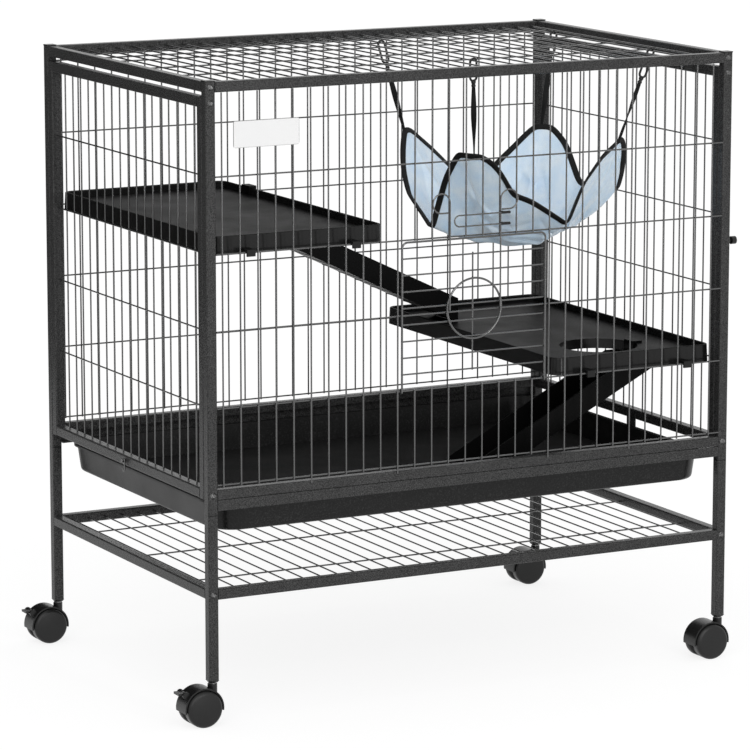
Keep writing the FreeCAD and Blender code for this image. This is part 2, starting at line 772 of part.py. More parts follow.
def platform(name, sx, base, holed):
    """Pan with a raised rim, a recessed floor, four hooks and, if asked, a collared hole."""
    body = doc.addObject("PartDesign::Body", name + "_pan")
    outline = body_sketch(body, name + "_outline")
    rounded_rectangle(outline, size.platform_width, size.platform_depth, size.platform_corner)
    level_feature(body, "Pad", name + "_wall", outline, size.platform_height, True, -size.platform_draft)
    inset = size.platform_rim * 2
    recess = body_sketch(body, name + "_recess_outline", size.platform_height)
    recess_corner = size.platform_corner - size.platform_rim
    rounded_rectangle(recess, size.platform_width - inset, size.platform_depth - inset, recess_corner)
    level_feature(body, "Pocket", name + "_recess", recess, size.platform_recess, False)
    skin = size.platform_skin * 2
    hollow = body_sketch(body, name + "_hollow_outline")
    hollow_corner = size.platform_corner - size.platform_skin
    rounded_rectangle(hollow, size.platform_width - skin, size.platform_depth - skin, hollow_corner)
    level_feature(body, "Pocket", name + "_hollow", hollow, floor_low, True)
    if holed:
        collar = body_sketch(body, name + "_collar_outline")
        circle(collar, size.hole_dia + skin, (-size.hole_shift, size.hole_offset))
        level_feature(body, "Pad", name + "_collar", collar, floor_low + size.platform_skin / 2, True)
        hole = body_sketch(body, name + "_hole_outline")
        circle(hole, size.hole_dia, (-size.hole_shift, size.hole_offset))
        level_feature(body, "Pocket", name + "_hole", hole, size.platform_height, True)
    edges = []
    for n, edge in enumerate(body.Shape.Edges, start=1):
        box = edge.BoundBox
        if abs(box.ZMin - size.platform_height.value) < SAME_LEVEL and box.ZLength < SAME_LEVEL:
            edges.append("Edge%d" % n)
    whole = body.Tip
    rounding = body.newObject("PartDesign::Fillet", name + "_rim_round")
    rounding.Base = (whole, edges)
    bind(rounding, Radius=size.platform_round)
    pieces = [body]
    half_long = size.platform_depth / 2
    lip_in = row_y + size.wire_dia / 2 + size.hook_slack
    # the hooks pass midway between the wires of the two grilles, which don't line up
    sideways = size.front_wire_shift / 2 * sx - size.hook_wide / 2
    for n, hook_cell in enumerate(HOOK_CELLS):
        x = cell * hook_cell - inner_x + platform_x + sideways
        for end, sy in FRONT_BACK:
            # each hook starts inside the pan's wall, so that the two fuse
            root = half_long - size.platform_skin
            reach = lip_in + size.hook_thick - root
            tongue_y = root if sy > 0 else -root - reach
            lip_y = lip_in if sy > 0 else -lip_in - size.hook_thick
            label = "%s_hook_%s_%d" % (name, end, n)
            tongue_span = (size.hook_wide, reach, size.hook_thick)
            pieces.append(block(label + "_tongue", tongue_span, (x, tongue_y, size.hook_rise)))
            lip_span = (size.hook_wide, size.hook_thick, size.hook_drop + size.hook_thick)
            pieces.append(block(label + "_lip", lip_span, (x, lip_y, size.hook_rise - size.hook_drop)))
    item = fuse(name, pieces)
    turned = UPRIGHT if sx < 0 else axes((-1, 0, 0), (0, -1, 0))
    return keep(place(item, (platform_x * sx, 0, base), turned))


platform("upper_platform", -1, upper_base, holed=False)
platform("lower_platform", 1, lower_base, holed=True)


def sloped_bar(name, width, run, start, stop):
    """Bar along X between two (low, high) pairs of heights, centred across its width."""
    item = doc.addObject("Part::Wedge", name)
    bind(item, Xmin=-width / 2, Xmax=width / 2, X2min=-width / 2, X2max=width / 2)
    bind(item, Ymin=0, Ymax=run, Zmin=start[0], Zmax=start[1], Z2min=stop[0], Z2max=stop[1])
    return item


def ramp(name, run, start_low, stop_low):
    """Channel with side walls and cross ribs, in its own frame: it starts at X zero and runs along +X."""
    wall = size.ramp_wall_high
    start_pair = (start_low, start_low + wall)
    stop_pair = (stop_low, stop_low + wall)
    outer = sloped_bar(name + "_outer", size.ramp_width, run, start_pair, stop_pair)
    slope = (stop_low - start_low) / run
    over = size.overrun
    tread_start = start_low + size.ramp_skin
    tread_stop = stop_low + size.ramp_skin
    start_pair = (tread_start - slope * over, start_low + wall + over * 2)
    stop_pair = (tread_stop + slope * over, stop_low + wall + over * 2)
    channel_width = size.ramp_width - size.ramp_skin * 2
    inner = sloped_bar(name + "_inner", channel_width, run + over * 2, start_pair, stop_pair)
    eastward = axes((0, -1, 0), (1, 0, 0))
    place(outer, (0, 0, 0), eastward)
    place(inner, (-over, 0, 0), eastward)
    pieces = [cut(name + "_channel", outer, inner)]
    for k in range(1, RAMP_RIBS + 1):
        share = k / (RAMP_RIBS + 1)
        level = tread_start + (tread_stop - tread_start) * share
        rib_long = channel_width + size.ramp_skin
        spot = (run * share, -rib_long / 2, level - size.rib_dia / 4)
        pieces.append(rod("%s_rib_%d" % (name, k), size.rib_dia, rib_long, spot, ALONG_Y))
    return pieces


# Upper ramp: hooks over the rim of the upper platform and lands on the lower platform's floor
upper_start = size.platform_width / 2 - platform_x + size.hook_slack
upper_stop = platform_x - size.platform_width / 2 + size.ramp_landing
upper_run = upper_stop - upper_start
upper_ramp_low = upper_base - size.ramp_seat_gap - size.ramp_wall_high
landing = lower_base + floor_top + size.hook_slack
upper_pieces = ramp("upper_ramp", upper_run, upper_ramp_low, landing)
hook_y = -size.ramp_hook_wide / 2
rim_top = upper_base + size.platform_height + size.hook_slack
upper_hook_long = size.platform_rim + size.hook_slack * 2 + size.hook_thick * 2
hook_post_high = rim_top + size.hook_thick - upper_ramp_low
hook_post_span = (size.hook_thick, size.ramp_hook_wide, hook_post_high)
hook_post = block("upper_ramp_post", hook_post_span, (0, hook_y, upper_ramp_low))
hook_over_x = size.hook_thick - upper_hook_long
hook_over_span = (upper_hook_long, size.ramp_hook_wide, size.hook_thick)
hook_over = block("upper_ramp_over", hook_over_span, (hook_over_x, hook_y, rim_top))
hook_lip_span = (size.hook_thick, size.ramp_hook_wide, size.hook_drop)
hook_lip = block("upper_ramp_lip", hook_lip_span, (hook_over_x, hook_y, rim_top - size.hook_drop))
upper_ramp = fuse("upper_ramp", upper_pieces + [hook_post, hook_over, hook_lip])
keep(place(upper_ramp, (upper_start, size.upper_ramp_offset, 0)))

# Lower ramp: hooks over the edge of the lower platform's hole and lands on the tray's floor
tray_flange_low = tray_rail_low + size.tray_sheet + size.tray_slide_gap
tray_floor = tray_flange_low - size.tray_deep + size.tray_skin
lower_start = hole_x + size.hole_dia / 2 + size.low_ramp_overlap
lower_ramp_low = lower_base - size.low_ramp_drop
lower_pieces = ramp("lower_ramp", size.low_ramp_run, lower_ramp_low, tray_floor + size.hook_slack * 2)
# the walls stop level under the platform's collar
trim_level = lower_base - size.low_ramp_trim
trim_wide = size.ramp_width + size.overrun * 2
trim_span = (size.low_ramp_run, trim_wide, size.ramp_wall_high)
trim = block("lower_ramp_trim", trim_span, (-size.overrun, -trim_wide / 2, trim_level))
lower_pieces[0] = cut("lower_ramp_trimmed", lower_pieces[0], trim)
# in the ramp's own frame the hole's edge is ahead of its start, and the hook hangs inside that edge
hang_x = size.low_ramp_overlap + size.platform_skin + size.hook_slack
floor_seat = lower_base + floor_top + size.hook_slack
bar_low = trim_level - size.hook_thick * 2
low_post_span = (size.hook_thick, size.ramp_hook_wide, floor_seat + size.hook_thick - bar_low)
low_post = block("lower_ramp_post", low_post_span, (hang_x, hook_y, bar_low))
low_over_long = size.hook_thick * 4 + size.hook_slack + size.platform_skin
low_over_span = (low_over_long, size.ramp_hook_wide, size.hook_thick)
low_over_spot = (hang_x + size.hook_thick - low_over_long, hook_y, floor_seat)
low_over = block("lower_ramp_over", low_over_span, low_over_spot)
low_bar_span = (size.hook_thick, size.ramp_width, size.hook_thick * 2)
low_bar = block("lower_ramp_bar", low_bar_span, (hang_x, -size.ramp_width / 2, bar_low))
lower_ramp = fuse("lower_ramp", lower_pieces + [low_post, low_over, low_bar])
keep(place(lower_ramp, (lower_start, -size.hole_offset, 0), axes((-1, 0, 0), (0, -1, 0))))

# Tray: a deep pan with leaning walls, round corners and a flange that runs on the ledges
tray_body = doc.addObject("PartDesign::Body", "tray")
ledge_edge = half_depth - size.tray_ledge
tray_wide = (ledge_edge - size.tray_side_gap) * 2
tray_long = (inner_x - size.tray_end_gap - size.tray_flange) * 2
tray_wall = body_sketch(tray_body, "tray_outline")
rounded_rectangle(tray_wall, tray_long, tray_wide, size.tray_corner)
level_feature(tray_body, "Pad", "tray_pan", tray_wall, size.tray_deep, False, -size.tray_draft)
flange_outline = body_sketch(tray_body, "tray_flange_outline")
flange_wide = (inner_y - size.tray_side_gap) * 2
flange_long = tray_long + size.tray_flange * 2
flange_corner = size.tray_corner + size.tray_flange
rounded_rectangle(flange_outline, flange_long, flange_wide, flange_corner)
level_feature(tray_body, "Pad", "tray_rim", flange_outline, size.tray_flange_thick, True)
bottom_edges = []
for n, edge in enumerate(tray_body.Shape.Edges, start=1):
    if abs(edge.BoundBox.ZMax + size.tray_deep.value) < SAME_LEVEL:
        bottom_edges.append("Edge%d" % n)
tray_whole = tray_body.Tip
tray_rounding = tray_body.newObject("PartDesign::Fillet", "tray_bottom_round")
tray_rounding.Base = (tray_whole, bottom_edges)
bind(tray_rounding, Radius=size.tray_round)
doc.recompute()
tray_inside = body_sketch(tray_body, "tray_inside_outline", size.tray_flange_thick)
inside_deep = size.tray_deep + size.tray_flange_thick - size.tray_skin
skin = size.tray_skin * 2
rounded_rectangle(tray_inside, tray_long - skin, tray_wide - skin, size.tray_corner - size.tray_skin)
level_feature(tray_body, "Pocket", "tray_inside", tray_inside, inside_deep, False, -size.tray_draft)
keep(place(tray_body, (0, 0, tray_flange_low)))

# Clip on the left rail that hangs at the tray's end, on its own pin
clip_level = panel_low + size.tube_side / 2
clip_eye = size.clip_pin_dia / 2 + size.pivot_slack + size.clip_wire / 2
clip_x = -half_width - size.clip_pin_long / 2
pin_spot = (-half_width, 0, clip_level)
pin = rod("clip_pin_shank", size.clip_pin_dia, size.clip_pin_long, pin_spot, ALONG_X_BACK)
pin_head_spot = (-half_width - size.clip_pin_long, 0, clip_level)
pin_head = rod("clip_pin_head", size.clip_head_dia, size.clip_head_thick, pin_head_spot, ALONG_X_BACK)
keep(fuse("clip_pin", [pin, pin_head]))
eye = bend("clip_eye", size.clip_wire, clip_eye, EYE_DEGREES, (clip_x, 0, clip_level), (0, -1, 0), (0, 0, 1))
clip_leg = rod("clip_leg", size.clip_wire, size.clip_long, (clip_x, -clip_eye, clip_level - size.clip_long))
foot_spot = (clip_x, -clip_eye + size.clip_bend, clip_level - size.clip_long)
clip_foot = bend("clip_foot", size.clip_wire, size.clip_bend, 180, foot_spot, (0, -1, 0), (0, 0, -1))
keep(fuse("tray_clip", [eye, clip_leg, clip_foot]))

# Stop tab inside the right rail
stop_high = size.stop_over + size.stop_under
stop_spot = (inner_x - size.stop_thick, -size.stop_offset - size.stop_wide / 2, panel_low - size.stop_under)
keep(block("tray_stop", (size.stop_thick, size.stop_wide, stop_high), stop_spot))

# Side knob: a plate with a wire loop on the right panel, and a knob that turns in it
knob_y = -(inner_y - size.tube_side / 2)
plate_low = size.knob_height - size.knob_plate_high / 2
plate_span = (size.knob_plate_thick, size.knob_plate_wide, size.knob_plate_high)
backing = block("knob_backing", plate_span, (half_width, knob_y - size.knob_plate_wide / 2, plate_low))
socket_dia = size.knob_stem_dia + size.pivot_slack * 2
socket_long = size.knob_plate_thick + size.overrun
socket = rod("knob_socket", socket_dia, socket_long, (half_width, knob_y, size.knob_height), ALONG_X)
loop_spot = (half_width + size.knob_plate_thick / 2, knob_y, plate_low + size.knob_plate_high)
loop = bend("knob_loop", size.wire_dia, size.knob_loop, 180, loop_spot, (0, 1, 0), (0, 0, 1))
keep(cut("knob_bracket", fuse("knob_plate", [backing, loop]), socket))
stem_spot = (half_width + size.hook_slack, knob_y, size.knob_height)
stem = rod("knob_stem", size.knob_stem_dia, size.knob_stem_long, stem_spot, ALONG_X)
grip_spot = (half_width + size.hook_slack + size.knob_stem_long, knob_y, size.knob_height)
grip = rod("knob_grip", size.knob_dia, size.knob_thick, grip_spot, ALONG_X)
keep(fuse("side_knob", [stem, grip]))


# Hammock: a square cloth that hangs by its corners, with a bound edge, straps and snap hooks
hammock_x = (picket_x(HAMMOCK_WIRES[0]) + picket_x(HAMMOCK_WIRES[1])) / 2
edge_rises = (size.right_edge_rise, size.back_edge_rise, size.left_edge_rise, size.front_edge_rise)
CENTRE_SHARE = 0.16
SQUARENESS = 12
RISE_POWER = 1.8
LOBE_STEPS = 8
RADIAL_STEPS = 6


def hammock_point(angle, share, drop):
    """Point of the cloth at an angle and a share of the way out, a drop under its upper face."""
    across = abs(math.cos(angle))
    along = abs(math.sin(angle))
    half = size.hammock_side.value / 2
    edge = half * (across ** SQUARENESS + along ** SQUARENESS) ** (-1 / SQUARENESS)
    # each side of the cloth dips in the middle and rises to its corners
    dip = edge_rises[round(angle / (math.pi / 2)) % 4].value
    to_corner = min(across, along) / max(across, along)
    rim = dip + (size.hammock_tip_rise.value - dip) * math.sin(math.pi / 2 * to_corner)
    outward = max(share - CENTRE_SHARE, 0) / (1 - CENTRE_SHARE)
    level = size.hammock_low.value + rim * outward ** RISE_POWER - drop
    return V(edge * share * math.cos(angle), edge * share * math.sin(angle), level)


def hammock_ring(share, drop):
    """Closed line round the cloth at a share of the way out, with a corner in the middle of each side."""
    edges = []
    for quarter in range(4):
        turns = [(quarter + n / LOBE_STEPS) * math.pi / 2 for n in range(LOBE_STEPS + 1)]
        curve = Part.BSplineCurve()
        curve.interpolate([hammock_point(angle, share, drop) for angle in turns])
        edges.append(curve.toShape())
    return Part.Wire(edges)


def hammock_solid(name, shares, rise, thickness):
    """Cloth lofted through rings, closed by a flat middle where it starts there and left open elsewhere."""
    upper = [hammock_ring(share, -rise) for share in shares]
    lower = [hammock_ring(share, thickness - rise) for share in shares]
    faces = Part.makeLoft(upper, False, False).Faces + Part.makeLoft(lower, False, False).Faces
    faces += Part.makeLoft([upper[-1], lower[-1]], False, True).Faces
    if shares[0] > CENTRE_SHARE:
        faces += Part.makeLoft([upper[0], lower[0]], False, True).Faces
    else:
        faces += [Part.Face(upper[0]), Part.Face(lower[0])]
    shell = Part.Shell(faces)
    shell.sewShape()
    solid = Part.Solid(shell)
    if solid.Volume < 0:
        solid.reverse()
    item = doc.addObject("Part::Feature", name)
    item.Shape = solid
    item.Placement = FreeCAD.Placement(V(hammock_x.value, 0, 0), FreeCAD.Rotation())
    return keep(item)


half_side = size.hammock_side.value / 2
binding_share = 1 - size.binding_wide.value / half_side
seam_share = binding_share - size.seam_gap.value / half_side
binding_rise = (size.hammock_binding.value - size.hammock_cloth.value) / 2
cloth_step = (seam_share - CENTRE_SHARE) / RADIAL_STEPS
cloth_shares = [CENTRE_SHARE + cloth_step * step for step in range(RADIAL_STEPS + 1)]
hammock_solid("hammock_cloth", cloth_shares, 0, size.hammock_cloth.value)
hammock_solid("hammock_binding", [binding_share, 1], binding_rise, size.hammock_binding.value)


def hang_line(i, sx, sy):
    """Where a strap's hook hangs on the top mesh, the cloth's corner under it, and the turn of that line."""
    top = V(picket_x(i).value, size.hook_span.value / 2 * sy, top_mesh_level.value)
    tip = hammock_point(math.atan2(sy, sx) % (2 * math.pi), 1, -binding_rise) + V(hammock_x.value, 0, 0)
    upward = (top - tip).normalize()
    across = upward.cross(V(0, -1, 0)).normalize()
    return top, tip, FreeCAD.Rotation(across, V(), upward, "ZXY")


def snap_hook(label, turned, top):
    """Long link round a wire of the top mesh, with a swivel body at its foot."""
    wire = size.snap_wire
    curve = size.snap_bend
    over_level = size.wire_dia / 2 + size.hook_slack + wire / 2 - curve
    under_level = over_level - size.snap_long
    over = bend(label + "_over", wire, curve, 180, (0, 0, over_level), (1, 0, 0), (0, 0, 1))
    under = bend(label + "_under", wire, curve, 180, (0, 0, under_level), (-1, 0, 0), (0, 0, -1))
    pieces = [over, under]
    for side, sx in LEFT_RIGHT:
        pieces.append(rod("%s_%s" % (label, side), wire, size.snap_long, (curve * sx, 0, under_level)))
    swivel_level = under_level - curve - size.swivel_long
    pieces.append(rod(label + "_swivel", size.swivel_dia, size.swivel_long, (0, 0, swivel_level)))
    item = fuse(label, pieces)
    item.Placement = FreeCAD.Placement(top, turned)
    return item, swivel_level


def hangers():
    """Hook and flat webbing for each corner of the cloth."""
    hooks = []
    straps = []
    wide = size.strap_wide
    thick = size.strap_thick
    for i, (side, sx) in zip(HAMMOCK_WIRES, LEFT_RIGHT):
        for end, sy in FRONT_BACK:
            top, tip, turned = hang_line(i, sx, sy)
            hook, swivel_level = snap_hook("snap_%s_%s" % (end, side), turned, top)
            hooks.append(hook)
            strap = doc.addObject("Part::Box", "strap_%s_%s" % (end, side))
            low = size.strap_slack.value - (top - tip).Length
            bind(strap, Length=wide, Width=thick, Height=swivel_level - size.strap_slack - low)
            corner = V(-wide.value / 2, -thick.value / 2, low)
            strap.Placement = FreeCAD.Placement(top + turned.multVec(corner), turned)
            straps.append(strap)
    keep(group("snap_hooks", hooks))
    keep(group("hammock_straps", straps))


hangers()

# Casters: a stem in each leg, and a hood that swivels on it with two wheels on one axle
axle_level = size.wheel_dia / 2
hood_in = size.wheel_dia / 2 + size.hood_gap
hood_out = hood_in + size.hood_wall
wheel_in = size.web_thick / 2 + size.wheel_gap
axle_long = (wheel_in + size.wheel_wide) * 2 - size.wheel_bevel * 2
stem_top = leg_end + size.stem_insert
HOOD_DEGREES = 196
HOOD_DIP = math.radians(8)
BRAKED = ("front_left", "back_left")

stems = []
for corner, sx, sy in CORNERS:
    x = post_x * sx
    y = post_y * sy
    pin = rod(corner + "_stem_pin", size.stem_dia, stem_top - size.stem_seat, (x, y, size.stem_seat))
    neck_low = size.boss_top + size.hook_slack
    neck = rod(corner + "_stem_neck", size.neck_dia, leg_end - size.foot_drop - neck_low, (x, y, neck_low))
    stems.append(fuse(corner + "_stem", [pin, neck]))
    # plug in the foot of the leg, with a hole for the stem
    foot_side = size.tube_side - size.foot_taper * 2
    foot = doc.addObject("Part::Wedge", corner + "_foot_lip")
    bind(foot, Xmin=-size.tube_side / 2, Xmax=size.tube_side / 2, X2min=-foot_side / 2, X2max=foot_side / 2)
    bind(foot, Zmin=-size.tube_side / 2, Zmax=size.tube_side / 2, Z2min=-foot_side / 2, Z2max=foot_side / 2)
    bind(foot, Ymin=0, Ymax=size.foot_drop)
    place(foot, (x, y, leg_end), axes((1, 0, 0), (0, 0, -1)))
    plug_side = bore_side - size.slip_fit * 2
    plug_spot = (x - plug_side / 2, y - plug_side / 2, leg_end)
    insert = block(corner + "_foot_insert", (plug_side, plug_side, size.plug_depth), plug_spot)
    foot_bore_long = size.plug_depth + size.foot_drop + size.overrun * 2
    foot_bore_spot = (x, y, leg_end - size.foot_drop - size.overrun)
    foot_bore = rod(corner + "_foot_bore", size.stem_dia, foot_bore_long, foot_bore_spot)
    plugs.append(cut(corner + "_foot", fuse(corner + "_foot_whole", [foot, insert]), foot_bore))
keep(group("caster_stems", stems))
keep(group("tube_plugs", plugs))


def hood(corner, x, y):
    """Arched cover over the wheels to just below the axle, a web between them and a boss round the stem."""
    name = corner + "_hood"
    axle = (x - size.caster_trail, y, axle_level)
    half = size.hood_wide / 2

    def arc(label, radius, wide):
        item = doc.addObject("Part::Cylinder", label)
        bind(item, Radius=radius, Height=wide)
        item.Angle = HOOD_DEGREES
        start = (math.cos(HOOD_DIP), 0, -math.sin(HOOD_DIP))
        upward = (math.sin(HOOD_DIP), 0, math.cos(HOOD_DIP))
        return place(item, (axle[0], y + wide / 2, axle_level), axes(start, upward))

    shell = cut(
        name + "_shell",
        arc(name + "_arch", hood_out, half * 2),
        arc(name + "_arch_bore", hood_in, half * 2 + size.overrun * 2),
    )
    web_radius = hood_in + size.hood_wall / 2
    web = arc(name + "_web", web_radius, size.web_thick)
    hub_spot = (axle[0], y - size.web_thick / 2, axle_level)
    hub = rod(name + "_hub", size.axle_dia * 2, size.web_thick, hub_spot, ALONG_Y)
    boss_low = size.stem_seat - size.hood_wall
    boss = rod(name + "_boss", size.boss_dia, size.boss_top - boss_low, (x, y, boss_low))
    whole = fuse(name + "_whole", [shell, web, hub, boss])
    axle_bore_dia = size.axle_dia + size.pivot_slack * 2
    axle_bore_spot = (axle[0], y - half, axle_level)
    axle_bore = rod(name + "_axle_bore", axle_bore_dia, half * 2, axle_bore_spot, ALONG_Y)
    stem_bore_low = size.stem_seat - size.hook_slack
    stem_bore_dia = size.stem_dia + size.pivot_slack * 2
    stem_bore = rod(name + "_stem_bore", stem_bore_dia, size.boss_top, (x, y, stem_bore_low))
    # room for the wheels beside the web, where the boss comes down between them
    rooms = []
    for side, sy in FRONT_BACK:
        room_y = y + wheel_in * sy if sy > 0 else y - wheel_in - size.wheel_wide
        room_y = room_y - size.wheel_gap / 2 if sy > 0 else room_y + size.wheel_gap / 2
        room_spot = (axle[0], room_y, axle_level)
        rooms.append(rod("%s_room_%s" % (name, side), hood_in * 2, size.wheel_wide, room_spot, ALONG_Y))
    return cut(name, whole, group(name + "_bores", [axle_bore, stem_bore] + rooms))


def wheels(corner, x, y):
    """Two wheels with bevelled outer edges."""
    pair = []
    for side, sy in FRONT_BACK:
        name = "%s_wheel_%s" % (corner, side)
        outward = ALONG_Y if sy > 0 else axes((1, 0, 0), (0, 0, 1))
        tread_wide = size.wheel_wide - size.wheel_bevel
        inner_y_own = y + wheel_in * sy
        bevel_y = y + (wheel_in + tread_wide) * sy
        at_x = x - size.caster_trail
        tread = rod(name + "_tread", size.wheel_dia, tread_wide, (at_x, inner_y_own, axle_level), outward)
        face = doc.addObject("Part::Cone", name + "_face")
        bind(face, Radius1=size.wheel_dia / 2, Radius2=size.wheel_dia / 2 - size.wheel_bevel)
        bind(face, Height=size.wheel_bevel)
        place(face, (at_x, bevel_y, axle_level), outward)
        bore_long = size.wheel_wide - size.wheel_bevel
        bore = rod(name + "_bore", size.axle_dia, bore_long, (at_x, inner_y_own, axle_level), outward)
        pair.append(cut(name, fuse(name + "_whole", [tread, face]), bore))
    return group(corner + "_wheels", pair)


def brake_lever(corner, x, y):
    """Foot lever with a barrel round the hood's pin."""
    name = corner + "_brake_lever"
    pin_x, pin_z = brake_pin(x)
    half = size.lever_wide / 2
    barrel = rod(name + "_barrel", size.lever_barrel_dia, size.lever_wide, (pin_x, y - half, pin_z), ALONG_Y)
    blade_span = (size.lever_long, size.lever_wide, size.lever_thick)
    blade = block(name + "_blade", blade_span, (pin_x - size.lever_long, y - half, pin_z))
    bore_dia = size.lever_pin_dia + size.pivot_slack * 2
    bore_spot = (pin_x, y - half - size.overrun, pin_z)
    bore = rod(name + "_bore", bore_dia, size.lever_wide + size.overrun * 2, bore_spot, ALONG_Y)
    return cut(name, fuse(name + "_whole", [barrel, blade]), bore)


PIN_DEGREES = 140


def brake_pin(x):
    """Place of the lever's pin, on the rear shoulder of the hood."""
    reach = hood_out + size.lever_barrel_dia / 2 + size.lever_gap
    across = round(math.cos(math.radians(PIN_DEGREES)), 4)
    upward = round(math.sin(math.radians(PIN_DEGREES)), 4)
    return x - size.caster_trail + reach * across, axle_level + reach * upward


def brake_ears(corner, x, y):
    """Two ears on the hood that hold the lever's pin, and the pin between them."""
    name = corner + "_brake"
    pin_x, pin_z = brake_pin(x)
    ear_y = size.lever_wide / 2 + size.lever_gap
    ear_dia = size.lever_barrel_dia + size.lever_gap * 2 + size.hood_wall
    pieces = []
    for side, sy in FRONT_BACK:
        low = y + ear_y if sy > 0 else y - ear_y - size.hood_wall
        ear_spot = (pin_x, low, pin_z)
        pieces.append(rod("%s_ear_%s" % (name, side), ear_dia, size.hood_wall, ear_spot, ALONG_Y))
    pin_long = ear_y * 2 + size.hood_wall
    pin_spot = (pin_x, y - ear_y - size.hood_wall / 2, pin_z)
    pieces.append(rod(name + "_pin", size.lever_pin_dia, pin_long, pin_spot, ALONG_Y))
    return pieces


for corner, sx, sy in CORNERS:
    x = post_x * sx
    y = post_y * sy
    cover = hood(corner, x, y)
    if corner in BRAKED:
        cover.Label = corner + "_hood_plain"
        cover = fuse(corner + "_caster_hood", [cover] + brake_ears(corner, x, y))
        keep(brake_lever(corner, x, y))
    cover.Label = corner + "_caster_hood"
    keep(cover)
    keep(wheels(corner, x, y))
    axle_spot = (x - size.caster_trail, y - axle_long / 2, axle_level)
    keep(rod(corner + "_axle", size.axle_dia, axle_long, axle_spot, ALONG_Y))

doc.recompute()

# Every object has to be sound before anything is written
for item in doc.Objects:
    if "Invalid" in item.State or "Error" in item.State:
        raise RuntimeError("%s failed to rebuild: %s" % (item.Label, item.State))
os.makedirs("parts", exist_ok=True)
for item in nodes:
    shape = item.Shape
    if shape.isNull() or not shape.isValid() or not shape.Solids:
        raise RuntimeError(item.Label + " has no sound solid")
for item in nodes:
    item.Shape.exportStep("parts/%s.step" % item.Label)
print(len(nodes), "sub-parts,", sum(len(item.Shape.Solids) for item in nodes), "solids")
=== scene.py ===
import json
import math

import bmesh
import bpy
import numpy as np
from mathutils import Matrix, Vector


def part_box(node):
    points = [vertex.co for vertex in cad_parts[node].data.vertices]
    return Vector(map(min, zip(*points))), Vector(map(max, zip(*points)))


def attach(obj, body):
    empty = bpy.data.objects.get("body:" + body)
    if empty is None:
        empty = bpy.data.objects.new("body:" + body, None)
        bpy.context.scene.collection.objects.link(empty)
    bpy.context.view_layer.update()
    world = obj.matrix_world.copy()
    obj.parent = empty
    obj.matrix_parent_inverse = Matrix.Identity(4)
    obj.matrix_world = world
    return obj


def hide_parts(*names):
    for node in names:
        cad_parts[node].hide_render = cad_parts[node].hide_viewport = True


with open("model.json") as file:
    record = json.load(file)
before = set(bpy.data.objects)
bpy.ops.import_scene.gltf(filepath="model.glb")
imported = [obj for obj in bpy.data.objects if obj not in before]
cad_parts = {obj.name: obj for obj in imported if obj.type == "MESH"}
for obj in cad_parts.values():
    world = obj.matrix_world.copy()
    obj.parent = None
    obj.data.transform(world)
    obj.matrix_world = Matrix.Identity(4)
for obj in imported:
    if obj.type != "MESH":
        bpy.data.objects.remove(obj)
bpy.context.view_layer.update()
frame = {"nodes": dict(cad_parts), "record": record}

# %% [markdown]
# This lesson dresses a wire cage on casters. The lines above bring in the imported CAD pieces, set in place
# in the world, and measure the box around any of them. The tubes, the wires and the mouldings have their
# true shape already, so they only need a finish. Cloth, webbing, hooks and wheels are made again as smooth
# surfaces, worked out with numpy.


def into_scene(name, data):
    """New object of a name around its data, linked into the scene."""
    item = bpy.data.objects.new(name, data)
    bpy.context.scene.collection.objects.link(item)
    return item


# %% [markdown]
# The camera stands to the left of the cage's front, far away, with a long lens, so the tubes run almost
# parallel. Its angle and its distance were found from the corners of the frame in the picture. A camera
# looks along its own -Z axis, so its turn is built from three unit vectors: right, up and back.

# %% Camera
IMAGE_SIDE = 750
SENSOR_WIDE = 36
FAR_CLIP = 100
CAMERA_TURN = math.radians(-27.65)
CAMERA_RISE = math.radians(10.43)
CAMERA_PLACE = Vector((-2.6393, -5.0072, 1.4352))
FOCAL_PIXELS = 4101.8
UPRIGHT = Vector((0, 0, 1))

camera_data = bpy.data.cameras.new("camera")
camera_data.sensor_width = SENSOR_WIDE
camera_data.lens = FOCAL_PIXELS / IMAGE_SIDE * SENSOR_WIDE
camera_data.clip_end = FAR_CLIP
camera = into_scene("camera", camera_data)
back = Vector((
    math.sin(CAMERA_TURN) * math.cos(CAMERA_RISE),
    -math.cos(CAMERA_TURN) * math.cos(CAMERA_RISE),
    math.sin(CAMERA_RISE),
))
right = UPRIGHT.cross(back).normalized()
up = back.cross(right)
camera.matrix_world = Matrix.Translation(CAMERA_PLACE) @ Matrix((right, up, back)).transposed().to_4x4()
bpy.context.scene.camera = camera
print("lens", round(camera_data.lens, 1), "mm")

# %% [markdown]
# The cage stands in a white studio. The world is the room's white walls: it fills the shadows at a modest
# level, and rays from the camera or off a mirror see it at full white. So the background is white without
# more light on the cage, and dark paint gets the pale sheen that it has in a bright room.

# %% White world
WORLD_FILL = 0.7
bpy.context.scene.view_settings.view_transform = "Standard"


def seen_or_mirrored(tree):
    """Mask of the rays that show a background: straight from the camera, mirrored, or through glass."""
    paths = tree.nodes.new("ShaderNodeLightPath")
    mask = paths.outputs["Is Camera Ray"]
    for name in ("Is Glossy Ray", "Is Transmission Ray"):
        either = tree.nodes.new("ShaderNodeMath")
        either.operation = "MAXIMUM"
        tree.links.new(mask, either.inputs[0])
        tree.links.new(paths.outputs[name], either.inputs[1])
        mask = either.outputs[0]
    return mask


world = bpy.data.worlds.new("white studio")
bpy.context.scene.world = world
world.use_nodes = True
tree = world.node_tree
tree.nodes.clear()
level = tree.nodes.new("ShaderNodeMapRange")
level.inputs["To Min"].default_value = WORLD_FILL
level.inputs["To Max"].default_value = 1
tree.links.new(seen_or_mirrored(tree), level.inputs["Value"])
sky = tree.nodes.new("ShaderNodeBackground")
sky.inputs["Color"].default_value = (1, 1, 1, 1)
tree.links.new(level.outputs["Result"], sky.inputs["Strength"])
world_out = tree.nodes.new("ShaderNodeOutputWorld")
tree.links.new(sky.outputs[0], world_out.inputs["Surface"])
print("world fills at", WORLD_FILL, "and shows at 1")

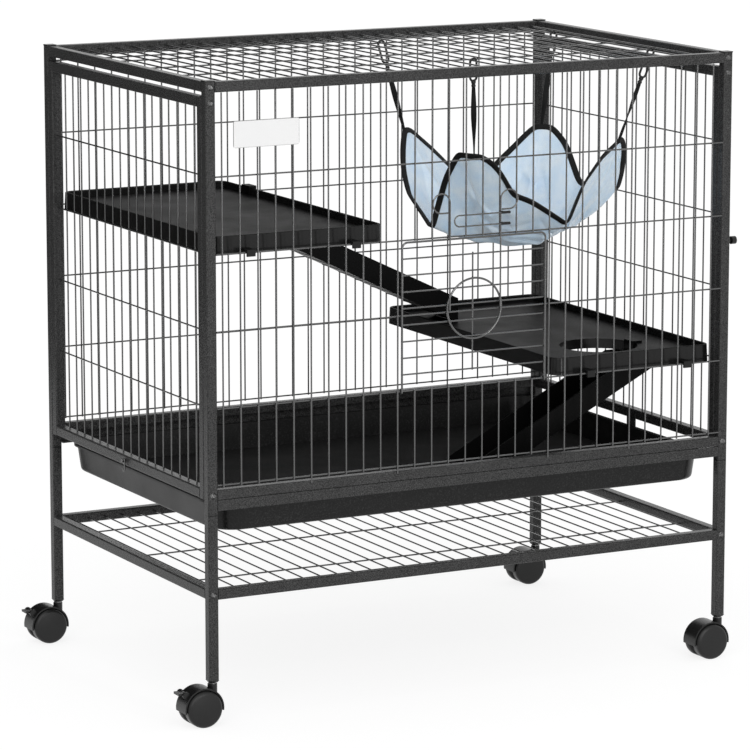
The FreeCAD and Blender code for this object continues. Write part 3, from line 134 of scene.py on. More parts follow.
# %% [markdown]
# One large, soft sun gives the light a direction without a hot spot on the floor. A tall strip light in
# front of the cage draws the narrow bright line on every round upright edge. Lamps shine along their own
# -Z axis, so each is turned until its Z axis points back to where the light comes from.

# %% Sun and strip light
SUN_STRENGTH = 0.95
SUN_SOFTNESS = math.radians(50)
SUN_FROM = Vector((-0.5, -0.85, 0.62))
STRIP_SIZE = (0.35, 2.4)
STRIP_PLACE = Vector((0.35, -3.6, 1.25))
STRIP_AIM = Vector((0, 0, 0.5))
STRIP_WATTS = 27


def turn_lamp(lamp, towards_source):
    """Turns a lamp so that its light comes from a direction."""
    lamp.rotation_mode = "QUATERNION"
    lamp.rotation_quaternion = towards_source.to_track_quat("Z", "Y")


sun_data = bpy.data.lights.new("soft sun", "SUN")
sun_data.energy = SUN_STRENGTH
sun_data.angle = SUN_SOFTNESS
turn_lamp(into_scene("soft sun", sun_data), SUN_FROM)

strip_data = bpy.data.lights.new("strip light", "AREA")
strip_data.shape = "RECTANGLE"
strip_data.size, strip_data.size_y = STRIP_SIZE
strip_data.energy = STRIP_WATTS
strip = into_scene("strip light", strip_data)
strip.location = STRIP_PLACE
turn_lamp(strip, STRIP_PLACE - STRIP_AIM)
strip.visible_camera = False
print("sun of", SUN_STRENGTH, "and a strip light of", STRIP_WATTS, "W")

# %% [markdown]
# Black paint shows what it mirrors. In the picture the left flank of the frame is almost black at the top
# and grey below, as if it mirrored something dark that stood clear of the floor. A darker paint would be
# dark from every side, so a dark card stands there instead. Only mirrored rays meet it: it takes no light
# from the cage and casts no shadow.

# %% Dark card
CARD_WIDE = 2.6
CARD_LOW = Vector((0, 0, 0.16))
CARD_HIGH = Vector((0, 0, 2.2))
CARD_WAY = Vector((-0.46, 0.87, 0))
CARD_FAR = 1.2
CARD_START = Vector((-0.43, 0, 0))
CARD_COLOUR = (0.02, 0.02, 0.02, 1)
CARD_ROUGH = 0.9


def flat_sheet(name, corners, material):
    """Studio sheet of one face, which is no part of the cage."""
    mesh = bpy.data.meshes.new(name)
    mesh.from_pydata([tuple(corner) for corner in corners], [], [(0, 1, 2, 3)])
    mesh.materials.append(material)
    sheet = into_scene(name, mesh)
    return sheet


card_finish = bpy.data.materials.new("dark card")
card_finish.use_nodes = True
card_shader = card_finish.node_tree.nodes["Principled BSDF"]
card_shader.inputs["Base Color"].default_value = CARD_COLOUR
card_shader.inputs["Roughness"].default_value = CARD_ROUGH
card_side = CARD_WAY.cross(UPRIGHT).normalized() * CARD_WIDE / 2
card_left = CARD_START + CARD_WAY * CARD_FAR - card_side
card_right = CARD_START + CARD_WAY * CARD_FAR + card_side
card_corners = [card_left + CARD_LOW, card_right + CARD_LOW, card_right + CARD_HIGH, card_left + CARD_HIGH]
card = flat_sheet("dark_card", card_corners, card_finish)
card.visible_camera = False
card.visible_diffuse = False
card.visible_transmission = False
card.visible_shadow = False
print("dark card", CARD_WIDE, "m wide, from", round(CARD_LOW.z, 2), "to", round(CARD_HIGH.z, 2), "m")

# %% [markdown]
# The floor is a wide pale sheet. Light that bounces off it meets a plain white floor. The camera meets a
# paler mixture, partly matt and mostly glowing, which brings the floor to white and keeps a faint shadow
# under the shelf and the wheels.

# %% Floor
FLOOR_HALF = 30
FLOOR_BOUNCE = 0.85
FLOOR_MATT = 0.22
FLOOR_GLOW = 0.83

floor_finish = bpy.data.materials.new("studio floor")
floor_finish.use_nodes = True
tree = floor_finish.node_tree
tree.nodes.clear()
bounce = tree.nodes.new("ShaderNodeBsdfDiffuse")
bounce.inputs["Color"].default_value = (FLOOR_BOUNCE, FLOOR_BOUNCE, FLOOR_BOUNCE, 1)
matt = tree.nodes.new("ShaderNodeBsdfDiffuse")
matt.inputs["Color"].default_value = (FLOOR_MATT, FLOOR_MATT, FLOOR_MATT, 1)
glow = tree.nodes.new("ShaderNodeEmission")
glow.inputs["Strength"].default_value = FLOOR_GLOW
pale = tree.nodes.new("ShaderNodeAddShader")
tree.links.new(matt.outputs[0], pale.inputs[0])
tree.links.new(glow.outputs[0], pale.inputs[1])
choice = tree.nodes.new("ShaderNodeMixShader")
tree.links.new(seen_or_mirrored(tree), choice.inputs["Fac"])
tree.links.new(bounce.outputs[0], choice.inputs[1])
tree.links.new(pale.outputs[0], choice.inputs[2])
out = tree.nodes.new("ShaderNodeOutputMaterial")
tree.links.new(choice.outputs[0], out.inputs["Surface"])
floor_corners = [(-FLOOR_HALF, -FLOOR_HALF, 0), (FLOOR_HALF, -FLOOR_HALF, 0), (FLOOR_HALF, FLOOR_HALF, 0),
                 (-FLOOR_HALF, FLOOR_HALF, 0)]
flat_sheet("floor", floor_corners, floor_finish)
print("floor", FLOOR_HALF * 2, "m wide")

# %% [markdown]
# Paint, plastic and cloth share a few effects. Each effect is a node group: a small tree with named
# inputs that is built once and then placed in many materials. The node editor would draw the wires; in a
# script they take many lines, so one helper makes an empty group and another makes a node with its values
# and its wires.

# %% Groups and nodes
def new_group(name, inputs, outputs):
    """Empty shader group with named sockets; returns the group and its input and output nodes."""
    group = bpy.data.node_groups.new(name, "ShaderNodeTree")
    kinds = {"colour": "NodeSocketColor", "value": "NodeSocketFloat", "normal": "NodeSocketVector"}
    for label, kind, value in inputs:
        socket = group.interface.new_socket(name=label, in_out="INPUT", socket_type=kinds[kind])
        socket.default_value = value
    for label, kind in outputs:
        group.interface.new_socket(name=label, in_out="OUTPUT", socket_type=kinds[kind])
    print("group", name, "with", len(inputs), "inputs")
    return group, group.nodes.new("NodeGroupInput"), group.nodes.new("NodeGroupOutput")


def node(tree, kind, links=(), **values):
    """Node of a kind with its inputs set by name, and some of them linked from other sockets."""
    item = tree.nodes.new("ShaderNode" + kind)
    for name, value in values.items():
        if hasattr(item, name):
            setattr(item, name, value)
        else:
            item.inputs[name.replace("_", " ")].default_value = value
    for target, source in links:
        tree.links.new(source, item.inputs[target])
    return item


# %% [markdown]
# Most of a pattern is made of three small steps: a mixture of two colours, a change of range and a sum or
# product. Each gets a helper whose inputs may be plain numbers or the outputs of other nodes.

# %% Mixtures, ranges and sums
def feed(tree, target, value):
    """Input set to a number or a colour, or linked to a socket."""
    if isinstance(value, bpy.types.NodeSocket):
        tree.links.new(value, target)
    else:
        target.default_value = value


def mixed(tree, mask, low, high):
    """Colour between two, by a mask."""
    item = node(tree, "Mix", [("Factor", mask)], data_type="RGBA")
    feed(tree, item.inputs[6], low)
    feed(tree, item.inputs[7], high)
    return item.outputs[2]


def ranged(tree, value, low, high, start=0.0, stop=1.0):
    """Value carried from one range to another."""
    item = node(tree, "MapRange", [("Value", value)], From_Min=start, From_Max=stop)
    feed(tree, item.inputs["To Min"], low)
    feed(tree, item.inputs["To Max"], high)
    return item.outputs["Result"]


def maths(tree, operation, first, second=0.0):
    """Sum, product or other operation on two sockets or numbers."""
    item = node(tree, "Math", operation=operation)
    feed(tree, item.inputs[0], first)
    feed(tree, item.inputs[1], second)
    return item.outputs[0]


# %% [markdown]
# The tubes wear hammered paint: shallow dimples a few millimetres wide, with the pigment a little lighter
# between them. A smooth Voronoi pattern gives the dimples and a fine noise the specks. Where a leg meets
# its post, the paint of both ends at a dark line, drawn at the height of the joint.

# %% Hammered paint group
SPECK_SCALE = 950.0
SPECK_SHARE = 0.5
PATCH_SCALE = 22.0
DIMPLE_SOFTNESS = 0.7
DIMPLE_DEEP = 0.001
JOINT_HALF = 0.0007
NOISE_RANGE = (0.3, 0.7)
SPECK_RANGE = (0.42, 0.66)
PATCH_LOW = 0.75
BLACK = (0, 0, 0, 1)
WHITE = (1, 1, 1, 1)

hammered, given, result = new_group(
    "hammered paint",
    [("Dark", "colour", BLACK), ("Light", "colour", WHITE), ("Dimples", "value", 300.0),
     ("Depth", "value", 0.3), ("Smooth", "value", 0.3), ("Rough", "value", 0.5),
     ("Joint level", "value", 0.0)],
    [("Colour", "colour"), ("Roughness", "value"), ("Normal", "normal")],
)
place = node(hammered, "TexCoord").outputs["Object"]
dimple = node(hammered, "TexVoronoi", [("Vector", place), ("Scale", given.outputs["Dimples"])],
              feature="SMOOTH_F1", Smoothness=DIMPLE_SOFTNESS)
speck = node(hammered, "TexNoise", [("Vector", place)], Scale=SPECK_SCALE, Detail=2.0).outputs[0]
patch = node(hammered, "TexNoise", [("Vector", place)], Scale=PATCH_SCALE, Detail=3.0).outputs[0]
height = maths(hammered, "ADD", dimple.outputs["Distance"], maths(hammered, "MULTIPLY", speck, SPECK_SHARE))
pigment = maths(hammered, "MULTIPLY", ranged(hammered, speck, 0.0, 1.0, *SPECK_RANGE),
                ranged(hammered, patch, PATCH_LOW, 1.0, *NOISE_RANGE))
painted = mixed(hammered, pigment, given.outputs["Dark"], given.outputs["Light"])
level = node(hammered, "SeparateXYZ", [("Vector", place)]).outputs["Z"]
from_joint = maths(hammered, "ABSOLUTE", maths(hammered, "SUBTRACT", level, given.outputs["Joint level"]))
joint = ranged(hammered, from_joint, 1.0, 0.0, JOINT_HALF / 2, JOINT_HALF)
rough = ranged(hammered, speck, given.outputs["Smooth"], given.outputs["Rough"], *NOISE_RANGE)
bump = node(hammered, "Bump", [("Height", height), ("Strength", given.outputs["Depth"])],
            Distance=DIMPLE_DEEP)
hammered.links.new(mixed(hammered, joint, painted, BLACK), result.inputs["Colour"])
hammered.links.new(rough, result.inputs["Roughness"])
hammered.links.new(bump.outputs[0], result.inputs["Normal"])

# %% [markdown]
# Moulded plastic has a fine, even grain from its mould, and a cloudy change of gloss over a hand's width.
# In the picture the upright walls are shinier than the level floors. Two materials on each piece would
# need its faces sorted, so the group reads the direction of the surface instead, and gives floors a
# roughness of their own and walls a thin coat. It serves the platforms, the tray and the casters.

# %% Moulded grain group
CLOUD_SCALE = 14.0
CLOUD_ROUGH = 0.6
CLOUD_LOW = 0.35
GRAIN_SHARE = 0.4
GRAIN_DEEP = 0.0006
GRAIN_RANGE = (0.5, 0.72)
GLOSS_RANGE = (0.35, 0.65)
FLOOR_FACING = (0.5, 0.9)
FLOOR_SPREAD = (0.85, 1.15)

moulded, given, result = new_group(
    "moulded grain",
    [("Dark", "colour", BLACK), ("Light", "colour", WHITE), ("Grain", "value", 1200.0),
     ("Depth", "value", 0.1), ("Smooth", "value", 0.3), ("Rough", "value", 0.5),
     ("Floor rough", "value", 0.5), ("Wall gloss", "value", 0.0)],
    [("Colour", "colour"), ("Roughness", "value"), ("Normal", "normal"), ("Gloss", "value")],
)
place = node(moulded, "TexCoord").outputs["Object"]
facing = node(moulded, "SeparateXYZ", [("Vector", node(moulded, "TexCoord").outputs["Normal"])]).outputs["Z"]
level_floor = ranged(moulded, facing, 0.0, 1.0, *FLOOR_FACING)
grain_noise = node(moulded, "TexNoise", [("Vector", place), ("Scale", given.outputs["Grain"])], Detail=3.0)
grain = grain_noise.outputs[0]
cloud_noise = node(moulded, "TexNoise", [("Vector", place)], Scale=CLOUD_SCALE, Detail=3.0,
                   Roughness=CLOUD_ROUGH)
cloud = cloud_noise.outputs[0]
pale_grain = maths(moulded, "MULTIPLY", ranged(moulded, grain, 0.0, 1.0, *GRAIN_RANGE),
                   ranged(moulded, cloud, CLOUD_LOW, 1.0, *NOISE_RANGE))
gloss = maths(moulded, "ADD", maths(moulded, "MULTIPLY", grain, GRAIN_SHARE),
              maths(moulded, "MULTIPLY", cloud, 1 - GRAIN_SHARE))
wall_rough = ranged(moulded, gloss, given.outputs["Smooth"], given.outputs["Rough"], *GLOSS_RANGE)
floor_rough = maths(moulded, "MULTIPLY", given.outputs["Floor rough"],
                    ranged(moulded, gloss, *FLOOR_SPREAD, *GLOSS_RANGE))
bump = node(moulded, "Bump", [("Height", grain), ("Strength", given.outputs["Depth"])], Distance=GRAIN_DEEP)
plastic = mixed(moulded, pale_grain, given.outputs["Dark"], given.outputs["Light"])
moulded.links.new(plastic, result.inputs["Colour"])
moulded.links.new(ranged(moulded, level_floor, wall_rough, floor_rough), result.inputs["Roughness"])
moulded.links.new(ranged(moulded, level_floor, given.outputs["Wall gloss"], 0.0), result.inputs["Gloss"])
moulded.links.new(bump.outputs[0], result.inputs["Normal"])

# %% [markdown]
# A finish is a material with one of these groups in front of its shader. Two greys, as the screen shows
# them, give the dark and the light of its pattern. The screen's scale is bent, so each grey is first
# turned into the share of light that it stands for, which is what a shader counts with.

# %% From a group to a finish
WALL_SHEEN = 0.16


def shade(value):
    """A grey level of the screen, 0 to 255, as the light it stands for."""
    share = value / 255
    return share / 12.92 if share <= 0.04045 else ((share + 0.055) / 1.055) ** 2.4


def grey(value):
    """Neutral colour of a screen grey."""
    return shade(value), shade(value), shade(value), 1


def finish(name, group, dark, light, specular=0.5, **values):
    """Material with a shared effect on its colour, roughness and normal."""
    material = bpy.data.materials.new(name)
    material.use_nodes = True
    tree = material.node_tree
    shader = tree.nodes["Principled BSDF"]
    shader.inputs["Specular IOR Level"].default_value = specular
    effect = tree.nodes.new("ShaderNodeGroup")
    effect.node_tree = group
    effect.inputs["Dark"].default_value = dark
    effect.inputs["Light"].default_value = light
    for label, value in values.items():
        effect.inputs[label.replace("_", " ")].default_value = value
    tree.links.new(effect.outputs["Colour"], shader.inputs["Base Color"])
    tree.links.new(effect.outputs["Roughness"], shader.inputs["Roughness"])
    tree.links.new(effect.outputs["Normal"], shader.inputs["Normal"])
    if "Gloss" in effect.outputs:
        tree.links.new(effect.outputs["Gloss"], shader.inputs["Coat Weight"])
        shader.inputs["Coat Roughness"].default_value = WALL_SHEEN
    print("finish", name)
    return material


# %% [markdown]
# The steel is painted. The tubes have thick hammered paint with little gloss. The wires have thin paint
# under a clear, shiny coat, which shows as a bright line along each wire in front of something dark. The
# bolts are bare dark steel, so they alone have their Metallic value at one.

# %% Paint and steel
WIRE_COAT = 0.7
WIRE_COAT_ROUGH = 0.12

joint_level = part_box("legs")[1].z
frame_paint = finish("hammered frame paint", hammered, grey(30), grey(80), specular=0.18, Dimples=420.0,
                     Depth=0.3, Smooth=0.2, Rough=0.36, Joint_level=joint_level)
wire_paint = finish("wire paint", hammered, grey(28), grey(46), specular=1.0, Dimples=500.0, Depth=0.1,
                    Smooth=0.12, Rough=0.22)
wire_shader = wire_paint.node_tree.nodes["Principled BSDF"]
wire_shader.inputs["Coat Weight"].default_value = WIRE_COAT
wire_shader.inputs["Coat Roughness"].default_value = WIRE_COAT_ROUGH
bolt_steel = finish("dark bolts", hammered, grey(60), grey(160), Dimples=900.0, Depth=0.08, Smooth=0.2,
                    Rough=0.38)
bolt_steel.node_tree.nodes["Principled BSDF"].inputs["Metallic"].default_value = 1

# %% [markdown]
# The platforms are smooth mouldings with shiny walls, and the ramps are blacker and duller. The tray is
# coarser, with a matt floor. Plugs, hoods and levers have a fine grain, and the wheels are a shade
# lighter. One group gives them all, with other numbers for grain and gloss.

# %% Plastics
platform_plastic = finish("platform plastic", moulded, grey(14), grey(30), specular=0.05, Grain=1500.0,
                          Depth=0.2, Smooth=0.34, Rough=0.5, Floor_rough=0.5, Wall_gloss=0.42)
ramp_plastic = finish("ramp plastic", moulded, grey(8), grey(20), specular=0.05, Grain=1500.0, Depth=0.2,
                      Smooth=0.34, Rough=0.5, Floor_rough=0.5, Wall_gloss=0.05)
tray_plastic = finish("tray plastic", moulded, grey(12), grey(50), specular=0.16, Grain=520.0, Depth=0.2,
                      Smooth=0.3, Rough=0.46, Floor_rough=0.9, Wall_gloss=0.14)
trim_plastic = finish("trim plastic", moulded, grey(14), grey(26), specular=0.35, Grain=1800.0, Depth=0.05,
                      Smooth=0.24, Rough=0.36, Floor_rough=0.3)
wheel_plastic = finish("wheel plastic", moulded, grey(22), grey(36), specular=0.3, Grain=1800.0, Depth=0.06,
                       Smooth=0.3, Rough=0.42, Floor_rough=0.36)
sign_plastic = finish("bare sign plate", moulded, grey(222), grey(234), Grain=2400.0, Depth=0.02,
                      Smooth=0.3, Rough=0.4)

# %% [markdown]
# The white plate on the front is bare. The thin grey line round its edge is painted shade along the plate's
# rounded edge. The line is a mask, not a mesh: a Mapping node centres the plate and makes its half size one,
# so the line is where the larger of the two ways from the middle comes close to one.

# %% Painted edge shade of the plate
# Width and grey of the painted edge shade round the sign plate.
SIGN_EDGE_SHADE_WIDE = 0.0009
SIGN_EDGE_SHADE_GREY = 140


def add_painted_edge_shade(material, piece, wide, colour):
    """Painted shade: a line of a colour round the front of a flat piece. The mask is 1 where either way from
    the middle of the piece, as a share of its half size, comes within the line's width of the edge."""
    low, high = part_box(piece)
    half = (high - low) / 2
    middle = (high + low) / 2
    tree = material.node_tree
    spread = tree.nodes.new("ShaderNodeMapping")
    spread.inputs["Scale"].default_value = (1 / half.x, 1 / half.y, 1 / half.z)
    spread.inputs["Location"].default_value = (-middle.x / half.x, -middle.y / half.y, -middle.z / half.z)
    tree.links.new(node(tree, "TexCoord").outputs["Object"], spread.inputs["Vector"])
    ways = node(tree, "SeparateXYZ", [("Vector", spread.outputs[0])])
    across = ranged(tree, maths(tree, "ABSOLUTE", ways.outputs["X"]), 0.0, 1.0, 1 - wide / half.x, 1.0)
    upward = ranged(tree, maths(tree, "ABSOLUTE", ways.outputs["Z"]), 0.0, 1.0, 1 - wide / half.z, 1.0)
    edge = maths(tree, "MAXIMUM", across, upward)
    base = tree.nodes["Principled BSDF"].inputs["Base Color"]
    plain = base.links[0].from_socket
    tree.links.new(mixed(tree, edge, plain, colour), base)


# The sign plate gets a line of painted shade round its edge.
add_painted_edge_shade(sign_plastic, "sign_plate", SIGN_EDGE_SHADE_WIDE, grey(SIGN_EDGE_SHADE_GREY))
print("edge line", SIGN_EDGE_SHADE_WIDE * 1000, "mm wide")

# %% [markdown]
# Each CAD piece names a material slot in the record, so one table from slot to finish dresses them all.
# The ramps share the slot of the platforms, and get their own finish after it. The cloth and webbing
# slots are not in the table, because new pieces take their place.

# %% Finishes on the CAD pieces
SLOT_FINISHES = {
    "frame_paint": frame_paint,
    "wire_paint": wire_paint,
    "moulded_black": platform_plastic,
    "tray_black": tray_plastic,
    "trim_black": trim_plastic,
    "wheel_black": wheel_plastic,
    "sign_white": sign_plastic,
    "bright_steel": bolt_steel,
}
dressed = [part for part in frame["record"]["subparts"] if part["material_slot"] in SLOT_FINISHES]
for part in dressed:
    mesh = frame["nodes"][part["node"]].data
    mesh.materials.clear()
    mesh.materials.append(SLOT_FINISHES[part["material_slot"]])
for name in ("upper_ramp", "lower_ramp"):
    frame["nodes"][name].data.materials[0] = ramp_plastic
print(len(dressed), "CAD pieces have a finish")

# %% [markdown]
# Every new surface is a grid of points from a formula. One helper turns a grid into quads, another treats
# each row as a ring of a tube. A direction that runs round, such as the girth of a strap, is closed, and
# an open tube gets a cap on each end. The faces stay arrays of point numbers until the mesh is made.

# %% From grids to faces
def grid_faces(rows, columns, closed_rows=False, closed_columns=False):
    """Quads between neighbours of a grid; a closed direction joins its last line to its first."""
    i = np.arange(rows if closed_rows else rows - 1)[:, None]
    j = np.arange(columns if closed_columns else columns - 1)[None, :]
    i_next = (i + 1) % rows
    j_next = (j + 1) % columns
    corners = (i * columns + j, i_next * columns + j, i_next * columns + j_next, i * columns + j_next)
    return np.stack(np.broadcast_arrays(*corners), axis=-1).reshape(-1, 4)


def tube_part(grid, closed_rows=False):
    """Grid of rings, one ring a row, as (points, quads, caps, uv); an open row of rings gets two caps."""
    rows, columns = grid.shape[:2]
    ring = np.arange(columns)
    caps = [] if closed_rows else [ring[::-1], ring + (rows - 1) * columns]
    steps = np.linalg.norm(np.diff(grid.mean(axis=1), axis=0), axis=-1)
    along = np.concatenate([[0], np.cumsum(steps)])
    around = np.linspace(0, 1, columns)
    uv = np.stack(np.meshgrid(along, around, indexing="ij"), axis=-1).reshape(-1, 2)
    return grid.reshape(-1, 3), grid_faces(rows, columns, closed_rows, True), caps, uv


print("a closed grid of 3 by 4 points has", len(grid_faces(3, 4, True, True)), "quads")

# %% [markdown]
# The next helper puts several such parts into one mesh. Points that lie on one another, as at the pole of a
# turned shape, are welded, the faces are turned outwards, and the piece is told which body it rides on and
# which material it wears.

# %% From faces to a piece
WELD = 1e-6


def make_piece(name, parts, material, body, merge=0.0):
    """One object from (points, quads, caps, uv) parts, smooth shaded, riding on a body."""
    points = np.concatenate([part[0] for part in parts])
    uv = np.concatenate([part[3] for part in parts])
    faces = []
    start = 0
    for part_points, quads, caps, _ in parts:
        faces += (quads + start).tolist()
        faces += [(cap + start).tolist() for cap in caps]
        start += len(part_points)
    mesh = bpy.data.meshes.new(name)
    mesh.from_pydata(points.tolist(), [], faces)
    corner_points = np.zeros(len(mesh.loops), int)
    mesh.loops.foreach_get("vertex_index", corner_points)
    layer = mesh.uv_layers.new(name="UVMap")
    layer.data.foreach_set("uv", uv[corner_points].astype(np.float32).ravel())
    work = bmesh.new()
    work.from_mesh(mesh)
    if merge:
        bmesh.ops.remove_doubles(work, verts=work.verts, dist=merge)
    bmesh.ops.recalc_face_normals(work, faces=work.faces)
    work.to_mesh(mesh)
    work.free()
    mesh.shade_smooth()
    mesh.materials.append(material)
    piece = into_scene(name, mesh)
    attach(piece, body)
    print(name, len(mesh.polygons), "faces")
    return piece


# %% [markdown]
# The hammock is one square of satin that hangs by its corners. Its rim rises in a round lobe at each
# corner and falls to a sharp dip in each side, no two of them alike. A cloth simulation would find a
# neat, even hang, so here the rim follows heights judged from the picture. Straight lines join them, and
# a narrow bell, carried round the rim as a wave, rounds every corner of those lines.

# %% Rim of the hammock
RIM_SOFTNESS = 1.8
# rise of the rim over the lowest point in millimetres, at degrees from the right side round by the back
RIM = ((0, 70), (15, 74), (29, 124), (40, 147), (50, 147), (62, 116), (75, 88), (100, 86), (116, 126),
       (128, 154), (134, 155), (142, 108), (152, 70), (181, 28), (198, 104), (211, 143), (226, 143),
       (232, 132), (237, 112), (241, 89), (252, 77), (276, 40), (287, 98), (299, 136), (311, 157),
       (316, 146), (322, 112), (330, 76))

degrees = np.arange(360)
rim_angles, rim_rises = np.array(RIM, float).T
straight = np.interp(degrees, rim_angles, rim_rises / 1000, period=360)
nearness = np.exp(-((degrees + 180) % 360 - 180.0) ** 2 / (2 * RIM_SOFTNESS ** 2))
soft_rim = np.fft.ifft(np.fft.fft(straight) * np.fft.fft(nearness / nearness.sum())).real
print("the rim rises", round(soft_rim.min(), 3), "to", round(soft_rim.max(), 3), "m")

# %% [markdown]
# From above, the hammock is a square with blunt corners, a little wider to the left. Its middle is broad
# and shallow, and from there the cloth climbs to the rim ever more steeply. The two parameters run along
# the cloth's own threads, so the weave can use the same grid as its map.

# %% Cloth without creases
HALF_SIDE = 0.130
LEFT_HALF_SIDE = 0.136
BLUNTNESS = 5
MIDDLE_SHARE = 0.16
RISE_POWER = 1.8
CLOTH_LIFT = 0.003
TINY = 1e-9

rim_low, rim_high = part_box("hammock_binding")
hammock_middle = np.array([(rim_low.x + rim_high.x) / 2, (rim_low.y + rim_high.y) / 2])
floor_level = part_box("hammock_cloth")[0].z + CLOTH_LIFT


def smooth_hammock(s, t):
    """Cloth without creases, for two arrays from -1 to 1 along its threads: the plan is a square with blunt
    corners, and the height grows as a power of the way out towards a rim of lobes and dips."""
    a = np.abs(s)
    b = np.abs(t)
    share = np.maximum(np.maximum(a, b), TINY)
    blunt = share / np.maximum((a ** BLUNTNESS + b ** BLUNTNESS) ** (1 / BLUNTNESS), TINY)
    angle = np.degrees(np.arctan2(t, s)) % 360
    rise = np.interp(angle, degrees, soft_rim, period=360)
    outward = np.clip((share - MIDDLE_SHARE) / (1 - MIDDLE_SHARE), 0, 1)
    z = floor_level + rise * outward ** RISE_POWER
    x = hammock_middle[0] + np.where(s < 0, LEFT_HALF_SIDE, HALF_SIDE) * s * blunt
    y = hammock_middle[1] + HALF_SIDE * t * blunt
    return np.stack([x, y, z], axis=-1)


print("the cloth's lowest point is at", round(floor_level, 3), "m")

# %% [markdown]
# A hanging cloth creases along its pull, from the middle of a side up towards the corners. Each crease is
# a low ridge or furrow, a bell across and a longer bell along. On the steep lobes a ridge that only rose
# would not show, so the ridges stand out along the normal of the smooth cloth, found from two short steps
# along its threads.

# %% Creases
NUDGE = 0.002
FADE_POWER = 8
# middle along the two threads, direction in radians, length, width, height in millimetres
CREASES = ((-0.46, -0.52, 2.36, 0.34, 0.040, 4.2), (-0.60, -0.66, 2.36, 0.28, 0.040, -3.4),
           (-0.40, -0.74, 1.25, 0.26, 0.030, -3.0), (-0.72, -0.52, 0.45, 0.26, 0.030, 2.8),
           (-0.16, -0.58, 2.75, 0.26, 0.032, 4.4), (-0.04, -0.44, 2.95, 0.34, 0.034, -3.8),
           (0.06, -0.70, 0.65, 0.22, 0.030, 4.4), (0.20, -0.56, 0.35, 0.26, 0.032, -3.4),
           (0.34, -0.62, 1.15, 0.22, 0.030, 4.2), (0.46, -0.50, 0.95, 0.26, 0.034, -3.2),
           (0.62, -0.86, 2.05, 0.30, 0.030, 3.4), (0.70, -0.76, 2.20, 0.34, 0.030, -3.4),
           (0.80, -0.64, 2.30, 0.34, 0.030, 3.4), (0.88, -0.52, 2.45, 0.26, 0.028, -2.6),
           (0.54, 0.60, 0.80, 0.36, 0.036, 3.2), (0.70, 0.52, 1.20, 0.30, 0.032, -3.0),
           (0.42, 0.74, 0.30, 0.28, 0.032, -2.8), (0.62, 0.76, 2.30, 0.20, 0.030, 2.6),
           (-0.62, 0.70, 2.30, 0.34, 0.034, 3.2), (-0.72, 0.50, 1.85, 0.32, 0.032, -3.6),
           (-0.56, 0.36, 1.70, 0.34, 0.036, 3.4), (-0.74, 0.06, 1.50, 0.30, 0.034, -2.8),
           (-0.64, -0.20, 1.35, 0.28, 0.034, 3.0), (0.15, 0.10, 0.50, 0.50, 0.060, 2.6),
           (-0.20, -0.20, 2.50, 0.45, 0.050, -2.6), (0.40, -0.24, 2.30, 0.40, 0.045, 2.8))


def unit(vectors):
    """Vectors of length one."""
    return vectors / np.maximum(np.linalg.norm(vectors, axis=-1, keepdims=True), 1e-12)


def hammock_points(s, t):
    """Creased cloth: each crease is a ridge, a bell across and a longer bell along, raised along the normal
    of the smooth cloth and faded out at the rim."""
    slope_s = smooth_hammock(s + NUDGE, t) - smooth_hammock(s - NUDGE, t)
    slope_t = smooth_hammock(s, t + NUDGE) - smooth_hammock(s, t - NUDGE)
    normal = unit(np.cross(slope_s, slope_t))
    height = np.zeros_like(s)
    for place_s, place_t, turn, long, wide, high in CREASES:
        along = (s - place_s) * np.cos(turn) + (t - place_t) * np.sin(turn)
        across = (t - place_t) * np.cos(turn) - (s - place_s) * np.sin(turn)
        height = height + high / 1000 * np.exp(-(across / wide) ** 2 - (along / long) ** 2)
    fade = 1 - np.maximum(np.abs(s), np.abs(t)) ** FADE_POWER
    return smooth_hammock(s, t) + normal * (height * fade)[..., None]


print(len(CREASES), "creases")

# %% [markdown]
# A cloth is cut before it is hung, so its flat size matters. The lengths of all the threads, averaged each
# way, give the width and the length of the cut. The same lengths spread the UV map, so the weave has its
# true size.

# %% Size of the cloth
STEPS = 161

threads = np.linspace(-1, 1, STEPS)
s_grid, t_grid = np.meshgrid(threads, threads, indexing="ij")
cloth_grid = hammock_points(s_grid, t_grid)
edge_u = np.diff(cloth_grid, axis=0)
edge_v = np.diff(cloth_grid, axis=1)
cloth_width = float(np.linalg.norm(edge_u, axis=-1).sum(axis=0).mean())
cloth_length = float(np.linalg.norm(edge_v, axis=-1).sum(axis=1).mean())
cloth_uv = np.stack([(s_grid + 1) / 2 * cloth_width, (t_grid + 1) / 2 * cloth_length], axis=-1)

# %% [markdown]
# Woven cloth is two sets of threads that cross. Two sine waves, one along each way of the UV map,
# multiplied, give the small squares of a weave. They drive a fine bump and the roughness, and together
# with a slow cloud they move the colour between its dark and its light. The satin, the edge tape and the
# webbing share this group.

# %% Woven threads group
FOLD_SCALE = 45.0
WEAVE_SHARE = 0.35
THREAD_DEEP = 0.0003

woven, given, result = new_group(
    "woven threads",
    [("Dark", "colour", BLACK), ("Light", "colour", WHITE), ("Threads", "value", 900.0),
     ("Depth", "value", 0.2), ("Smooth", "value", 0.4), ("Rough", "value", 0.6)],
    [("Colour", "colour"), ("Roughness", "value"), ("Normal", "normal")],
)
split = node(woven, "SeparateXYZ", [("Vector", node(woven, "TexCoord").outputs["UV"])])
turns = maths(woven, "MULTIPLY", given.outputs["Threads"], math.tau)
warp = maths(woven, "SINE", maths(woven, "MULTIPLY", split.outputs[0], turns))
weft = maths(woven, "SINE", maths(woven, "MULTIPLY", split.outputs[1], turns))
weave = ranged(woven, maths(woven, "MULTIPLY", warp, weft), 0.0, 1.0, -1.0, 1.0)
place = node(woven, "TexCoord").outputs["Object"]
cloud = node(woven, "TexNoise", [("Vector", place)], Scale=FOLD_SCALE, Detail=3.0).outputs[0]
tint = maths(woven, "ADD", maths(woven, "MULTIPLY", weave, WEAVE_SHARE),
             maths(woven, "MULTIPLY", cloud, 1 - WEAVE_SHARE))
tint_share = ranged(woven, tint, 0.0, 1.0, *NOISE_RANGE)
dyed = mixed(woven, tint_share, given.outputs["Dark"], given.outputs["Light"])
